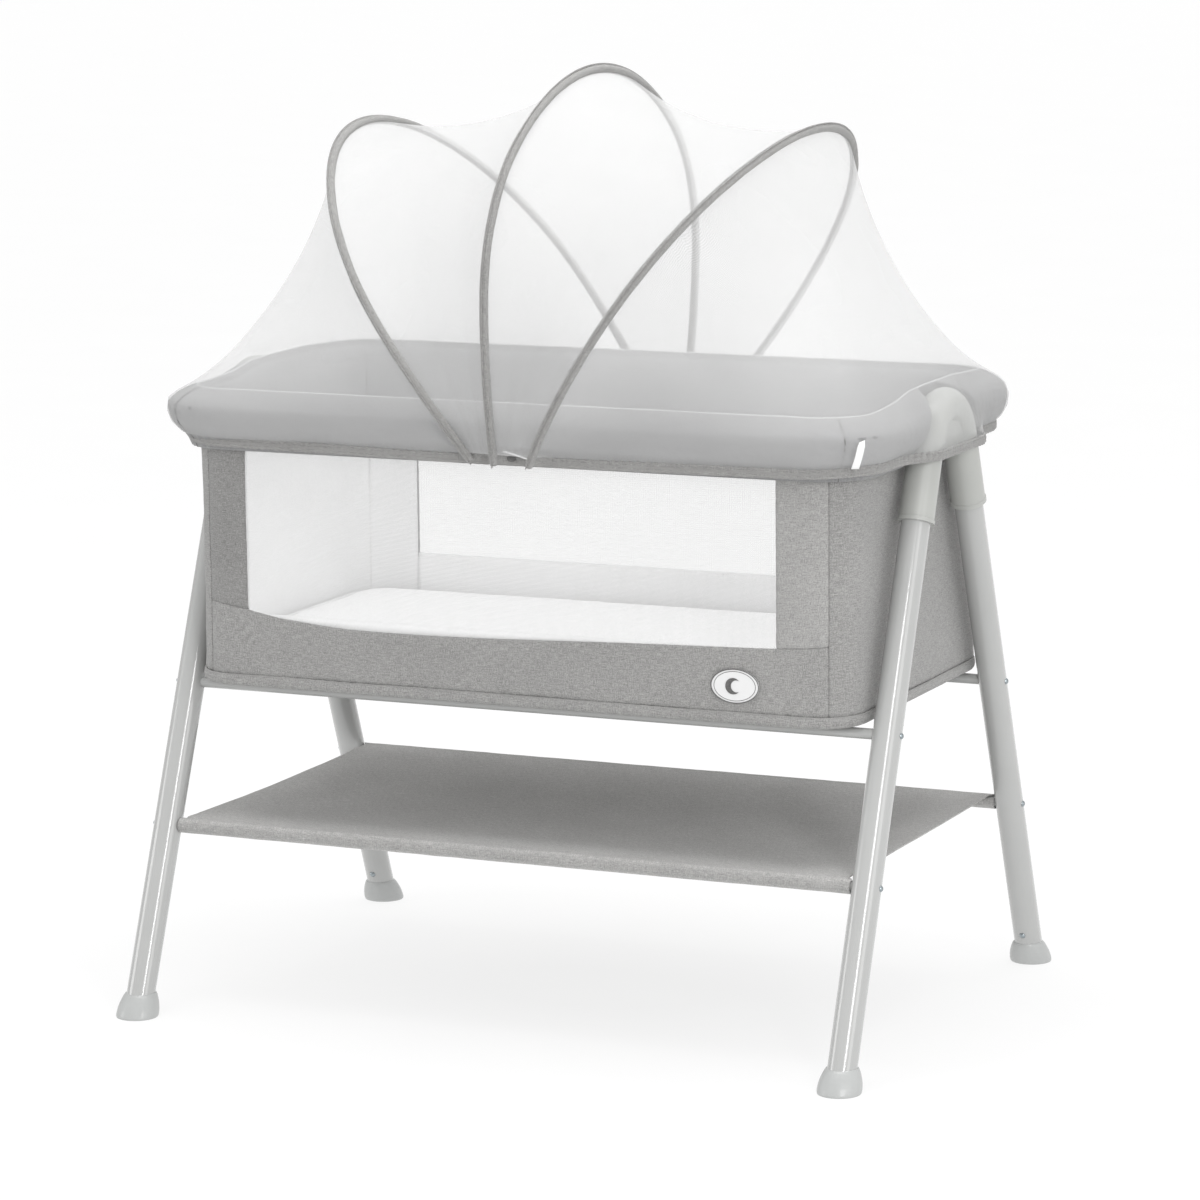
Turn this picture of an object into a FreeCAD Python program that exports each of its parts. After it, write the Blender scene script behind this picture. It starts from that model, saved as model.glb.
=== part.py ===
"""Bassinet on an A-frame stand: steel legs, plastic heads, fabric basket, shelf and a fan of net.

Millimetres. X runs along the bassinet, Y from front to back, Z up. The origin is on the floor,
midway between the feet.
"""
import FreeCAD
import Part
import math
import os

V = FreeCAD.Vector
X_AXIS = V(1, 0, 0)
Y_AXIS = V(0, 1, 0)
Z_AXIS = V(0, 0, 1)
SIDES = {"left": -1, "right": 1}
FACES = {"front": -1, "rear": 1}

# Stand
FOOT_X = 500.0            # leg planes, from the middle
FOOT_Y = 370.0            # leg axes on the floor, from the middle
APEX_Z = 932.0            # height at which the two leg axes of one side would meet
LEG_RADIUS = 19.0
LEG_WALL = 1.2
LEG_FOOT_Z = 7.0          # lower end of a leg's axis, inside its foot
LEG_TOP_Z = 770.0
FOOT_HEIGHT = 30.0
FOOT_SPIGOT_Z = 74.0      # top of the plug inside the leg
FOOT_SCREW_Z = 50.0
CROSSBAR_Z = 424.0
SHELF_ROD_Z = 242.0
ROD_RADIUS = 7.0
ROD_WALL = 1.0
INSERT_LENGTH = 26.0
SCREW_RADIUS = 2.5
SCREW_HEAD_RADIUS = 4.2
SCREW_HEAD_HEIGHT = 3.0
ROD_SCREW_LENGTH = 58.0
FOOT_SCREW_LENGTH = 13.0

# Heads that join the two legs of one side
HEAD_RADIUS = 23.0
HEAD_LIP_RADIUS = 24.2
HEAD_LIP_HEIGHT = 6.0
HEAD_BOTTOM_Z = 681.0
HEAD_TOP_Z = 843.0
HEAD_WEB_THICKNESS = 28.0
HEAD_WEB_Z = 766.0
BOSS_RADIUS = 5.5         # bosses on a head that meet the rim tube
BOSS_START_X = 479.2
BOSS_LENGTH = 17.8

# Storage shelf, a fabric sling on the two lower rods
SLEEVE_RADIUS = 9.0
SHELF_HALF_LENGTH = 464.0
SLEEVE_HALF_LENGTH = 480.0
SHELF_THICKNESS = 3.0
SHELF_EDGE_Z = 249.0
SHELF_SAG = 9.0

# Basket
BODY_X = 470.0
BODY_Y = 261.0
BODY_CORNER = 65.0
WALL = 4.0
BOTTOM_Z = 437.0
BOTTOM_SKIN = 3.0
BAND_Z = 450.0            # piping line, where the side panels begin
SILL_Z = 536.0            # lower edge of the windows
WALL_TOP_Z = 752.0
WINDOW_LEFT_X = -380.0
WINDOW_RIGHT_X = 372.0
SEAM_X = 440.0            # vertical seams, on the corner curves
MESH = 1.5
PIPING_RADIUS = 2.0
BOARD_TOP_Z = 446.0
LINING = 1.6

# Mattress
MATTRESS_X = 457.0
MATTRESS_Y = 243.0
MATTRESS_CORNER = 50.0
MATTRESS_BOTTOM_Z = 446.5
MATTRESS_THICKNESS = 45.0
MATTRESS_EDGE = 9.0

# Oval patch on the front panel
BADGE_X = 317.0
BADGE_Z = 485.0
BADGE_HALF_LENGTH = 33.0
BADGE_HALF_HEIGHT = 22.0
BADGE_THICKNESS = 1.4

# Padded rim: a steel tube inside a foam roll that leans outwards
RIM_X = 476.0             # line that the roll's section is measured from
RIM_Y = 261.0
RIM_CORNER = 66.0
RIM_INNER = -16.0         # offsets from that line, outwards positive
RIM_RIDGE = 3.0
RIM_WIDEST = 39.0
RIM_RIDGE_Z = 840.0
RIM_WIDEST_Z = 804.0
RIM_TUBE_OFFSET = -6.5
RIM_TUBE_Z = 806.0
RIM_TUBE_RADIUS = 7.0
RIM_TUBE_WALL = 1.2
RAIL_HALF_LENGTH = 300.0
RIM_BOLT_Y = 25.0
RIM_BOLT_LENGTH = 33.0
RIM_BOLT_HEAD_RADIUS = 4.5
RIM_BOLT_HEAD_HEIGHT = 2.2
HEAD_NOTCH_Y = 99.0

# Net: an elastic hem round the rim and three hoops that fan out from the middle of each side
HEM_BOTTOM_Z = 757.0
HEM_TOP_Z = 770.0
HEM_THICKNESS = 3.5
HINGE_Z = 763.0
HOOP_ROD_RADIUS = 2.0
HOOP_SLEEVE_RADIUS = 5.5
HOOP_SLEEVE_BORE = 2.3
HOOP_SLEEVE_START = 8.0
TIP_RADIUS = 3.5
TIP_LENGTH = 8.0
NET_THICKNESS = 1.0
NET_GAP = 8.5             # from a hoop's centre line to the edge of the net solid
NET_OFFSET = 52.5         # outside of the end net, from the rim's section line
NET_START = 75.0          # from a hoop's hinge to where its end net begins on the hem
# Each hoop: hinge x, lean from upright in degrees, half width at the hinge, widest half width and
# its height (the waist), top height, and the radius of its shoulders.
HOOPS = {
    "left": dict(x=-34.0, lean=-34.75, base=300.0, widest=321.0, waist=187.0, top=494.0, shoulder=290.0),
    "center": dict(x=7.0, lean=1.0, base=314.0, widest=345.0, waist=212.0, top=480.0, shoulder=230.0),
    "right": dict(x=58.0, lean=33.5, base=315.0, widest=364.0, waist=180.0, top=491.0, shoulder=280.0),
}


def save(name, shape):
    """Writes one node. A group of loose solids goes out as a compound."""
    shape.exportStep("parts/" + name + ".step")


def box(x0, x1, y0, y1, z0, z1):
    return Part.makeBox(x1 - x0, y1 - y0, z1 - z0, V(x0, y0, z0))


def rod(start, end, radius, bore=0.0):
    """A round bar or tube between two points."""
    along = end - start
    solid = Part.makeCylinder(radius, along.Length, start, along)
    if bore:
        solid = solid.cut(Part.makeCylinder(bore, along.Length, start, along))
    return solid


def rounded_outline(half_x, half_y, radius, z):
    """A rounded rectangle, flat at height z."""
    left, right, front, rear = -half_x, half_x, -half_y, half_y
    diagonal = radius * (1 - math.sqrt(0.5))
    edges = []
    corners = (
        (right, front, -1, 1, V(right - radius, front, z), V(right, front + radius, z)),
        (right, rear, -1, -1, V(right, rear - radius, z), V(right - radius, rear, z)),
        (left, rear, 1, -1, V(left + radius, rear, z), V(left, rear - radius, z)),
        (left, front, 1, 1, V(left, front + radius, z), V(left + radius, front, z)),
    )
    arcs = []
    for x, y, inward_x, inward_y, start, end in corners:
        middle = V(x + inward_x * diagonal, y + inward_y * diagonal, z)
        arcs.append((start, middle, end))
    for index, (start, middle, end) in enumerate(arcs):
        edges.append(Part.Arc(start, middle, end).toShape())
        edges.append(Part.LineSegment(end, arcs[(index + 1) % 4][0]).toShape())
    return Part.Wire(edges)


def plate(half_x, half_y, radius, z0, z1):
    return Part.Face(rounded_outline(half_x, half_y, radius, z0)).extrude(V(0, 0, z1 - z0))


def ring(half_x, half_y, radius, thickness, z0, z1):
    """A rounded rectangular wall, measured on its outside."""
    outer = plate(half_x, half_y, radius, z0, z1)
    inner = plate(half_x - thickness, half_y - thickness, radius - thickness, z0, z1)
    return outer.cut(inner)


def tube_along(edges, radius, bore=0.0):
    """A round tube along straight and round edges that join smoothly."""
    pieces = []
    for edge in edges:
        start = edge.valueAt(edge.FirstParameter)
        tangent = edge.tangentAt(edge.FirstParameter)
        section = Part.Face(Part.Wire(Part.makeCircle(radius, start, tangent)))
        if bore:
            section = section.cut(Part.Face(Part.Wire(Part.makeCircle(bore, start, tangent)))).Faces[0]
        if edge.Curve.TypeId == "Part::GeomCircle":
            turn = math.degrees(edge.LastParameter - edge.FirstParameter)
            pieces.append(section.revolve(edge.Curve.Center, edge.Curve.Axis, turn))
        else:
            pieces.append(section.extrude(edge.valueAt(edge.LastParameter) - start))
    whole = pieces[0]
    if len(pieces) > 1:
        whole = pieces[0].multiFuse(pieces[1:]).removeSplitter()
    return whole.Solids[0]


# ---------------------------------------------------------------- stand


def leg_point(side, face, z):
    """The point at height z on the axis of one leg."""
    return V(SIDES[side] * FOOT_X, FACES[face] * FOOT_Y * (1 - z / APEX_Z), z)


def leg_direction(side, face):
    return (leg_point(side, face, APEX_Z) - leg_point(side, face, 0)).normalize()


def rod_y(z):
    return FOOT_Y * (1 - z / APEX_Z)


def screw(seat, inward, length):
    """A domed screw whose head stands outside the point seat."""
    crown = V(0, 0, -SCREW_HEAD_HEIGHT)
    bulge = V(SCREW_HEAD_RADIUS * 0.72, 0, -SCREW_HEAD_HEIGHT * 0.66)
    rim = V(SCREW_HEAD_RADIUS, 0, 0)
    corners = [rim, V(SCREW_RADIUS, 0, 0), V(SCREW_RADIUS, 0, length), V(0, 0, length), crown]
    edges = [Part.Arc(crown, bulge, rim).toShape()]
    for start, end in zip(corners, corners[1:]):
        edges.append(Part.LineSegment(start, end).toShape())
    solid = Part.Face(Part.Wire(edges)).revolve(V(0, 0, 0), Z_AXIS, 360)
    solid.Placement = FreeCAD.Placement(seat, FreeCAD.Rotation(Z_AXIS, inward))
    return solid


def screw_seat(side, face, z):
    """Where a rod's screw enters the outer face of a leg."""
    return V(SIDES[side] * (FOOT_X + LEG_RADIUS), FACES[face] * rod_y(z), z)


def foot_screw_line(side, face):
    """Seat and direction of the screw that holds a foot, on the inner side of the leg."""
    into_leg = V(0, FACES[face], 0)
    along = leg_direction(side, face)
    into_leg = (into_leg - along * into_leg.dot(along)).normalize()
    return leg_point(side, face, FOOT_SCREW_Z) - into_leg * LEG_RADIUS, into_leg


def leg(side, face):
    bottom, top = leg_point(side, face, LEG_FOOT_Z), leg_point(side, face, LEG_TOP_Z)
    tube = rod(bottom, top, LEG_RADIUS, LEG_RADIUS - LEG_WALL)
    outward = X_AXIS * SIDES[side]
    for z in (CROSSBAR_Z, SHELF_ROD_Z):
        seat = screw_seat(side, face, z) + outward
        tube = tube.cut(Part.makeCylinder(SCREW_RADIUS, 2 * LEG_RADIUS + 2, seat, outward * -1))
    seat, into_leg = foot_screw_line(side, face)
    return tube.cut(Part.makeCylinder(SCREW_RADIUS, LEG_RADIUS, seat - into_leg, into_leg))


def foot(side, face):
    """A flared bell, flat on the floor, with a plug that goes up inside the leg."""
    sections = []
    for z, radius in ((0, 28.5), (5, 28.3), (12, 26.2), (21, 23.0), (FOOT_HEIGHT, 21.6)):
        lean = min(z, FOOT_HEIGHT) / FOOT_HEIGHT
        center = V(SIDES[side] * FOOT_X, FACES[face] * (FOOT_Y - lean * (FOOT_Y - rod_y(FOOT_HEIGHT))), z)
        sections.append(Part.Wire(Part.makeCircle(radius, center, Z_AXIS)))
    bell = Part.makeLoft(sections, True, False)
    socket = rod(leg_point(side, face, LEG_FOOT_Z), leg_point(side, face, FOOT_SPIGOT_Z), LEG_RADIUS)
    plug_start = leg_point(side, face, LEG_FOOT_Z - 1)
    plug = rod(plug_start, leg_point(side, face, FOOT_SPIGOT_Z), LEG_RADIUS - LEG_WALL)
    seat, into_leg = foot_screw_line(side, face)
    pilot = Part.makeCylinder(SCREW_RADIUS, 14, seat, into_leg)
    return bell.cut(socket).fuse(plug).cut(pilot).Solids[0]


def head(side):
    """An inverted V of two sleeves that flow into a dome, hollow, with a web in its crotch."""
    x = SIDES[side] * FOOT_X
    sine, cosine = leg_direction(side, "front").y, leg_direction(side, "front").z
    # The dome turns about a point on the middle plane, tangent to both leg axes.
    turn_z = (HEAD_TOP_Z - HEAD_RADIUS - APEX_Z * sine) / (1 - sine)
    turn_radius = HEAD_TOP_Z - HEAD_RADIUS - turn_z
    center = V(x, 0, turn_z)

    def arch(radius, bottom_z):
        tangent = V(x, -turn_radius * cosine, turn_z + turn_radius * sine)
        section = Part.Face(Part.Wire(Part.makeCircle(radius, tangent, V(0, sine, cosine))))
        dome = section.revolve(center, V(-1, 0, 0), 180 - 2 * math.degrees(math.asin(sine)))
        sleeves = []
        for face in FACES:
            top = V(x, FACES[face] * -tangent.y, tangent.z)
            sleeves.append(rod(leg_point(side, face, bottom_z), top, radius))
        return dome.multiFuse(sleeves)

    solid = arch(HEAD_RADIUS, HEAD_BOTTOM_Z)
    for face in FACES:
        low = leg_point(side, face, HEAD_BOTTOM_Z)
        along = leg_direction(side, face)
        lip = Part.makeCylinder(HEAD_LIP_RADIUS, HEAD_LIP_HEIGHT, low, along)
        solid = solid.fuse(lip.makeChamfer(1.1, [lip.Edges[0]]))
    web_start = center - X_AXIS * HEAD_WEB_THICKNESS / 2
    web = Part.makeCylinder(turn_radius - LEG_RADIUS, HEAD_WEB_THICKNESS, web_start, X_AXIS)
    web = web.cut(box(x - 50, x + 50, -100, 100, 0, HEAD_WEB_Z))
    solid = solid.fuse(web).cut(arch(LEG_RADIUS, HEAD_BOTTOM_Z))
    for bolt in rim_bolt_lines(side):
        inner, outward = bolt
        boss_start = V(SIDES[side] * BOSS_START_X, inner.y, inner.z)
        solid = solid.fuse(Part.makeCylinder(BOSS_RADIUS, BOSS_LENGTH, boss_start, outward))
        solid = solid.cut(Part.makeCylinder(SCREW_RADIUS, RIM_BOLT_LENGTH + 1, inner, outward))
    return max(solid.Solids, key=lambda piece: piece.Volume)


def rim_bolt_lines(side):
    """Inner end and direction of the bolts that hold the rim tube to a head."""
    inner_x = SIDES[side] * (RIM_X + RIM_TUBE_OFFSET - RIM_TUBE_RADIUS)
    outward = X_AXIS * SIDES[side]
    return [(V(inner_x, y, RIM_TUBE_Z), outward) for y in (-RIM_BOLT_Y, RIM_BOLT_Y)]


def cross_rod(face, z):
    """A tube between the two legs of one face, ends shaped to the legs."""
    start = V(-FOOT_X + 12, FACES[face] * rod_y(z), z)
    end = V(FOOT_X - 12, FACES[face] * rod_y(z), z)
    tube = rod(start, end, ROD_RADIUS, ROD_RADIUS - ROD_WALL)
    for side in SIDES:
        tube = tube.cut(rod(leg_point(side, face, z - 60), leg_point(side, face, z + 60), LEG_RADIUS))
    return tube


def rod_insert(side, face, z):
    """The threaded plug pressed into a rod's end."""
    outer_end = V(SIDES[side] * (FOOT_X - LEG_RADIUS - 2.5), FACES[face] * rod_y(z), z)
    inner_end = outer_end - X_AXIS * SIDES[side] * INSERT_LENGTH
    return rod(outer_end, inner_end, ROD_RADIUS - ROD_WALL, SCREW_RADIUS)


def storage_shelf():
    """A sagging sheet with a sleeve along each long edge, a rod through each sleeve."""
    half_y = rod_y(SHELF_ROD_Z)

    def arc(edge_z):
        return Part.Arc(V(0, -half_y, edge_z), V(0, 0, edge_z - SHELF_SAG), V(0, half_y, edge_z))

    top = arc(SHELF_EDGE_Z).toShape()
    bottom = arc(SHELF_EDGE_Z - SHELF_THICKNESS).toShape()
    ends = [Part.LineSegment(a.valueAt(p), b.valueAt(q)).toShape() for a, b, p, q in (
        (top, bottom, top.FirstParameter, bottom.FirstParameter),
        (top, bottom, top.LastParameter, bottom.LastParameter))]
    profile = Part.Face(Part.Wire(Part.__sortEdges__([top, bottom] + ends)))
    profile.translate(V(-SHELF_HALF_LENGTH, 0, 0))
    sheet = profile.extrude(V(2 * SHELF_HALF_LENGTH, 0, 0))
    for y in (-half_y, half_y):
        start, end = V(-SLEEVE_HALF_LENGTH, y, SHELF_ROD_Z), V(SLEEVE_HALF_LENGTH, y, SHELF_ROD_Z)
        sheet = sheet.fuse(rod(start, end, SLEEVE_RADIUS))
    for y in (-half_y, half_y):
        sheet = sheet.cut(rod(V(-FOOT_X, y, SHELF_ROD_Z), V(FOOT_X, y, SHELF_ROD_Z), ROD_RADIUS))
    for side in SIDES:
        for face in FACES:
            sheet = sheet.cut(rod(leg_point(side, face, 180), leg_point(side, face, 300), LEG_RADIUS + 0.2))
    return sheet.Solids[0]


# ---------------------------------------------------------------- basket


def wall_piece(wall, x0, x1, face, z0, z1):
    """The part of a ring wall between two heights and two x planes, on one face."""
    far = 2 * BODY_Y
    y0, y1 = (-far, 0) if face == "front" else (0, far)
    return wall.common(box(x0, x1, y0, y1, z0, z1)).Solids[0]


def rim_section():
    """The foam roll's outline, in a plane across the front rail."""
    def at(offset, z):
        return V(0, -RIM_Y - offset, z)

    inner_low, inner_high = at(RIM_INNER, 752), at(RIM_INNER, 822)
    ridge, widest = at(RIM_RIDGE, RIM_RIDGE_Z), at(RIM_WIDEST, RIM_WIDEST_Z)
    flank, low = at(15.0, 768), at(7.0, 752)
    edges = [
        Part.LineSegment(inner_low, inner_high).toShape(),
        Part.Arc(inner_high, at(-10.5, 834.5), ridge).toShape(),
        Part.Arc(ridge, at(28.5, 829.5), widest).toShape(),
        Part.Arc(widest, at(31.0, 783.0), flank).toShape(),
        Part.LineSegment(flank, low).toShape(),
        Part.LineSegment(low, inner_low).toShape(),
    ]
    return Part.Face(Part.Wire(edges))


def rim_tube_edges(side):
    """The U-shaped end of the rim frame, from the front rail round to the rear rail."""
    sign = SIDES[side]
    half_x = RIM_X + RIM_TUBE_OFFSET
    half_y = RIM_Y + RIM_TUBE_OFFSET
    radius = RIM_CORNER + RIM_TUBE_OFFSET
    bend = radius * (1 - math.sqrt(0.5))
    z = RIM_TUBE_Z

    def at(x, y):
        return V(sign * x, y, z)

    front_start, front_end = at(half_x - radius, -half_y), at(half_x, -half_y + radius)
    rear_start, rear_end = at(half_x, half_y - radius), at(half_x - radius, half_y)
    return [
        Part.LineSegment(at(RAIL_HALF_LENGTH, -half_y), front_start).toShape(),
        Part.Arc(front_start, at(half_x - bend, -half_y + bend), front_end).toShape(),
        Part.LineSegment(front_end, rear_start).toShape(),
        Part.Arc(rear_start, at(half_x - bend, half_y - bend), rear_end).toShape(),
        Part.LineSegment(rear_end, at(RAIL_HALF_LENGTH, half_y)).toShape(),
    ]


def rim_frame():
    """Two straight rails and two U-shaped ends, with bolt holes in the ends."""
    half_y = RIM_Y + RIM_TUBE_OFFSET
    bore = RIM_TUBE_RADIUS - RIM_TUBE_WALL
    frame = {}
    for face in FACES:
        start = V(-RAIL_HALF_LENGTH, FACES[face] * half_y, RIM_TUBE_Z)
        frame["rim_rail_" + face] = rod(start, start + X_AXIS * 2 * RAIL_HALF_LENGTH, RIM_TUBE_RADIUS, bore)
    for side in SIDES:
        end = tube_along(rim_tube_edges(side), RIM_TUBE_RADIUS, bore)
        for inner, outward in rim_bolt_lines(side):
            end = end.cut(Part.makeCylinder(SCREW_RADIUS, 20, inner - outward, outward))
        frame["rim_end_" + side] = end
    return frame


def rim_bolt(inner, outward):
    """A flat-headed bolt from inside the rim tube's inner face into the head's boss."""
    shank = Part.makeCylinder(SCREW_RADIUS, RIM_BOLT_LENGTH, inner, outward)
    return shank.fuse(Part.makeCylinder(RIM_BOLT_HEAD_RADIUS, RIM_BOLT_HEAD_HEIGHT, inner, outward * -1))


def rim_pads():
    """Foam rolls: straight ones along the rails, and ends that turn both corners."""
    section = rim_section()
    straight_x = RIM_X - RIM_CORNER
    straight_y = RIM_Y - RIM_CORNER
    pads = {}
    for face in FACES:
        profile = section.copy()
        if face == "rear":
            profile = profile.mirror(V(0, 0, 0), Y_AXIS)
        profile.translate(V(-straight_x, 0, 0))
        pad = profile.extrude(X_AXIS * 2 * straight_x)
        y = FACES[face] * (RIM_Y + RIM_TUBE_OFFSET)
        start, end = V(-FOOT_X, y, RIM_TUBE_Z), V(FOOT_X, y, RIM_TUBE_Z)
        pads["rim_pad_" + face] = pad.cut(rod(start, end, RIM_TUBE_RADIUS))
    profile = section.copy()
    profile.translate(V(straight_x, 0, 0))
    front_corner = profile.revolve(V(straight_x, -straight_y, 0), Z_AXIS, 90)
    end_face = profile.copy()
    end_face.rotate(V(straight_x, -straight_y, 0), Z_AXIS, 90)
    straight = end_face.extrude(Y_AXIS * 2 * straight_y)
    rear_corner = front_corner.mirror(V(0, 0, 0), Y_AXIS)
    notch = box(RIM_X + 0.8, RIM_X + 60, -HEAD_NOTCH_Y, HEAD_NOTCH_Y, WALL_TOP_Z - 1, RIM_RIDGE_Z + 5)
    pad = front_corner.multiFuse([straight, rear_corner]).cut(notch)
    pad = pad.cut(tube_along(rim_tube_edges("right"), RIM_TUBE_RADIUS))
    for inner, outward in rim_bolt_lines("right"):
        pad = pad.cut(rim_bolt(inner, outward))
    pads["rim_pad_right"] = max(pad.Solids, key=lambda piece: piece.Volume)
    pads["rim_pad_left"] = pads["rim_pad_right"].mirror(V(0, 0, 0), X_AXIS)
    return pads


def bottom_panel():
    floor = plate(BODY_X, BODY_Y, BODY_CORNER, BOTTOM_Z, BOTTOM_Z + BOTTOM_SKIN)
    band = ring(BODY_X, BODY_Y, BODY_CORNER, WALL, BOTTOM_Z + BOTTOM_SKIN, BAND_Z)
    return floor.fuse(band).removeSplitter()


def piping():
    """The sewn cord that runs round the basket's lower edge."""
    half_x = BODY_X + PIPING_RADIUS + 0.3
    half_y = BODY_Y + PIPING_RADIUS + 0.3
    edges = rounded_outline(half_x, half_y, BODY_CORNER + PIPING_RADIUS, BAND_Z).OrderedEdges
    return tube_along(edges, PIPING_RADIUS)


def inner_lining():
    outer_x = BODY_X - WALL - 0.1
    outer_y = BODY_Y - WALL - 0.1
    lining = ring(outer_x, outer_y, BODY_CORNER - WALL, LINING, BOARD_TOP_Z, WALL_TOP_Z)
    window = box(WINDOW_LEFT_X, WINDOW_RIGHT_X, -2 * BODY_Y, 2 * BODY_Y, SILL_Z, WALL_TOP_Z + 1)
    lining = lining.cut(window)
    return lining.Solids[0]


def mattress():
    top_z = MATTRESS_BOTTOM_Z + MATTRESS_THICKNESS
    pad = plate(MATTRESS_X, MATTRESS_Y, MATTRESS_CORNER, MATTRESS_BOTTOM_Z, top_z)
    flat = [e for e in pad.Edges if abs(e.BoundBox.ZMax - e.BoundBox.ZMin) < 0.001]
    return pad.makeFillet(MATTRESS_EDGE, flat)


def badge():
    """A plain oval patch on the front panel."""
    outline = Part.Ellipse(V(0, 0, 0), BADGE_HALF_LENGTH, BADGE_HALF_HEIGHT).toShape()
    patch = Part.Face(Part.Wire(outline)).extrude(Z_AXIS * BADGE_THICKNESS)
    patch.rotate(V(0, 0, 0), X_AXIS, 90)
    patch.translate(V(BADGE_X, -BODY_Y - 0.1, BADGE_Z))
    return patch


# ---------------------------------------------------------------- net


def blended_polygon(points):
    """A closed flat outline with rounded corners. Each point is (x, y, radius)."""
    count = len(points)
    arcs = []
    for index, (x, y, radius) in enumerate(points):
        here = V(x, y, 0)
        before = (V(*points[index - 1][:2], 0) - here).normalize()
        after = (V(*points[(index + 1) % count][:2], 0) - here).normalize()
        half = before.getAngle(after) / 2
        reach = radius / math.tan(half)
        bisector = (before + after).normalize()
        middle = here + bisector * (radius / math.sin(half) - radius)
        arcs.append((here + before * reach, middle, here + after * reach))
    edges = []
    for index, (start, middle, end) in enumerate(arcs):
        edges.append(Part.Arc(start, middle, end).toShape())
        edges.append(Part.LineSegment(end, arcs[(index + 1) % count][0]).toShape())
    return Part.Wire(edges)


def hem_wire():
    """Bulged by the hoops in the middle of each side and by the heads at the ends."""
    quarter = [(90.0, 290.5, 400.0), (496.0, 281.0, 84.0), (497.5, 142.0, 60.0), (528.5, 84.0, 40.0)]
    reverse = quarter[::-1]
    points = [(x, -y, r) for x, y, r in quarter]
    points += [(x, y, r) for x, y, r in reverse]
    points += [(-x, y, r) for x, y, r in quarter]
    points += [(-x, -y, r) for x, y, r in reverse]
    return blended_polygon(points)


def net_hem():
    middle = hem_wire()
    outer = middle.makeOffset2D(HEM_THICKNESS / 2)
    inner = middle.makeOffset2D(-HEM_THICKNESS / 2)
    band = Part.Face(outer).extrude(Z_AXIS * (HEM_TOP_Z - HEM_BOTTOM_Z))
    band = band.cut(Part.Face(inner).extrude(Z_AXIS * (HEM_TOP_Z - HEM_BOTTOM_Z)))
    band.translate(V(0, 0, HEM_BOTTOM_Z))
    return band.Solids[0]


def hoop_frame(name):
    """Turns a hoop's own (y, height) into a point of the row frame."""
    hoop = HOOPS[name]
    lean = math.radians(hoop["lean"])

    def at(y, height):
        return V(hoop["x"] + height * math.sin(lean), y, HINGE_Z + height * math.cos(lean))

    return at


def hoop_arcs(name, start_height):
    """Centre, radius and angles of a hoop's arcs, from its front base over the top to its rear."""
    hoop = HOOPS[name]
    widest, waist = hoop["widest"], hoop["waist"]
    top, shoulder = hoop["top"], hoop["shoulder"]
    spread = widest - hoop["base"]
    leg_radius = (spread ** 2 + waist ** 2) / (2 * spread)
    rise = top - waist
    crown = (widest ** 2 + rise ** 2 - 2 * widest * shoulder) / (2 * (rise - shoulder))
    start = math.pi + math.asin((waist - start_height) / leg_radius)
    shoulder_angle = math.atan2(waist - (top - crown), shoulder - widest)
    return [
        ((leg_radius - widest, waist), leg_radius, start, math.pi),
        ((shoulder - widest, waist), shoulder, math.pi, shoulder_angle),
        ((0.0, top - crown), crown, shoulder_angle, math.pi - shoulder_angle),
        ((widest - shoulder, waist), shoulder, math.pi - shoulder_angle, 0.0),
        ((widest - leg_radius, waist), leg_radius, 0.0, math.pi - start),
    ]


def hoop_edges(name, start_height):
    at = hoop_frame(name)
    edges = []
    for (y, height), radius, first, last in hoop_arcs(name, start_height):
        points = []
        for share in (0.0, 0.5, 1.0):
            angle = first + share * (last - first)
            points.append(at(y + radius * math.cos(angle), height + radius * math.sin(angle)))
        edges.append(Part.Arc(*points).toShape())
    return edges


def hoop_point(name, share, start_height):
    """A point on a hoop's centre line, share of the way from its front base to its rear one."""
    wire = Part.Wire(hoop_edges(name, start_height))
    left = share * wire.Length
    for edge in wire.OrderedEdges:
        if left <= edge.Length + 1e-6:
            return edge.valueAt(edge.getParameterByLength(min(left, edge.Length)))
        left -= edge.Length
    return wire.OrderedEdges[-1].valueAt(wire.OrderedEdges[-1].LastParameter)


def rod_tips(name):
    """Round end barrels, lying on the hoop's hinge line, one in each pocket."""
    at = hoop_frame(name)
    tips = []
    for sign in (-1, 1):
        center = at(sign * HOOPS[name]["base"], 0)
        tip = Part.makeCylinder(TIP_RADIUS, TIP_LENGTH, center - Y_AXIS * TIP_LENGTH / 2, Y_AXIS)
        tips.append(tip.cut(tube_along(hoop_edges(name, 0), HOOP_ROD_RADIUS)).Solids[0])
    return Part.makeCompound(tips)


def hoop_pockets():
    """Flat patches sewn on the hem, behind the ends of the hoops."""
    patches = []
    for sign in (-1, 1):
        y0, y1 = sorted((sign * 292.5, sign * 293.6))
        patches.append(box(-50, 76, y0, y1, HEM_BOTTOM_Z - 2, HEM_TOP_Z))
    return Part.makeCompound(patches)


def thin_solid(grid):
    """A sheet of even thickness from a grid of points on its outer surface."""
    rows, columns = len(grid), len(grid[0])
    inner = []
    for i in range(rows):
        line = []
        for j in range(columns):
            along = grid[min(i + 1, rows - 1)][j] - grid[max(i - 1, 0)][j]
            across = grid[i][min(j + 1, columns - 1)] - grid[i][max(j - 1, 0)]
            normal = along.cross(across).normalize()
            line.append(grid[i][j] - normal * NET_THICKNESS)
        inner.append(line)
    faces = []
    for points in (grid, inner):
        surface = Part.BSplineSurface()
        surface.interpolate(points)
        faces.append(surface)
    sides = []
    for pick in (lambda s: s.uIso(0), lambda s: s.uIso(1), lambda s: s.vIso(0), lambda s: s.vIso(1)):
        sides.append(Part.makeRuledSurface(pick(faces[0]).toShape(), pick(faces[1]).toShape()))
    shell = Part.makeShell([face.toShape() for face in faces] + sides)
    shell.sewShape()
    solid = Part.makeSolid(shell)
    if solid.Volume < 0:
        solid.reverse()
    return solid


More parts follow.
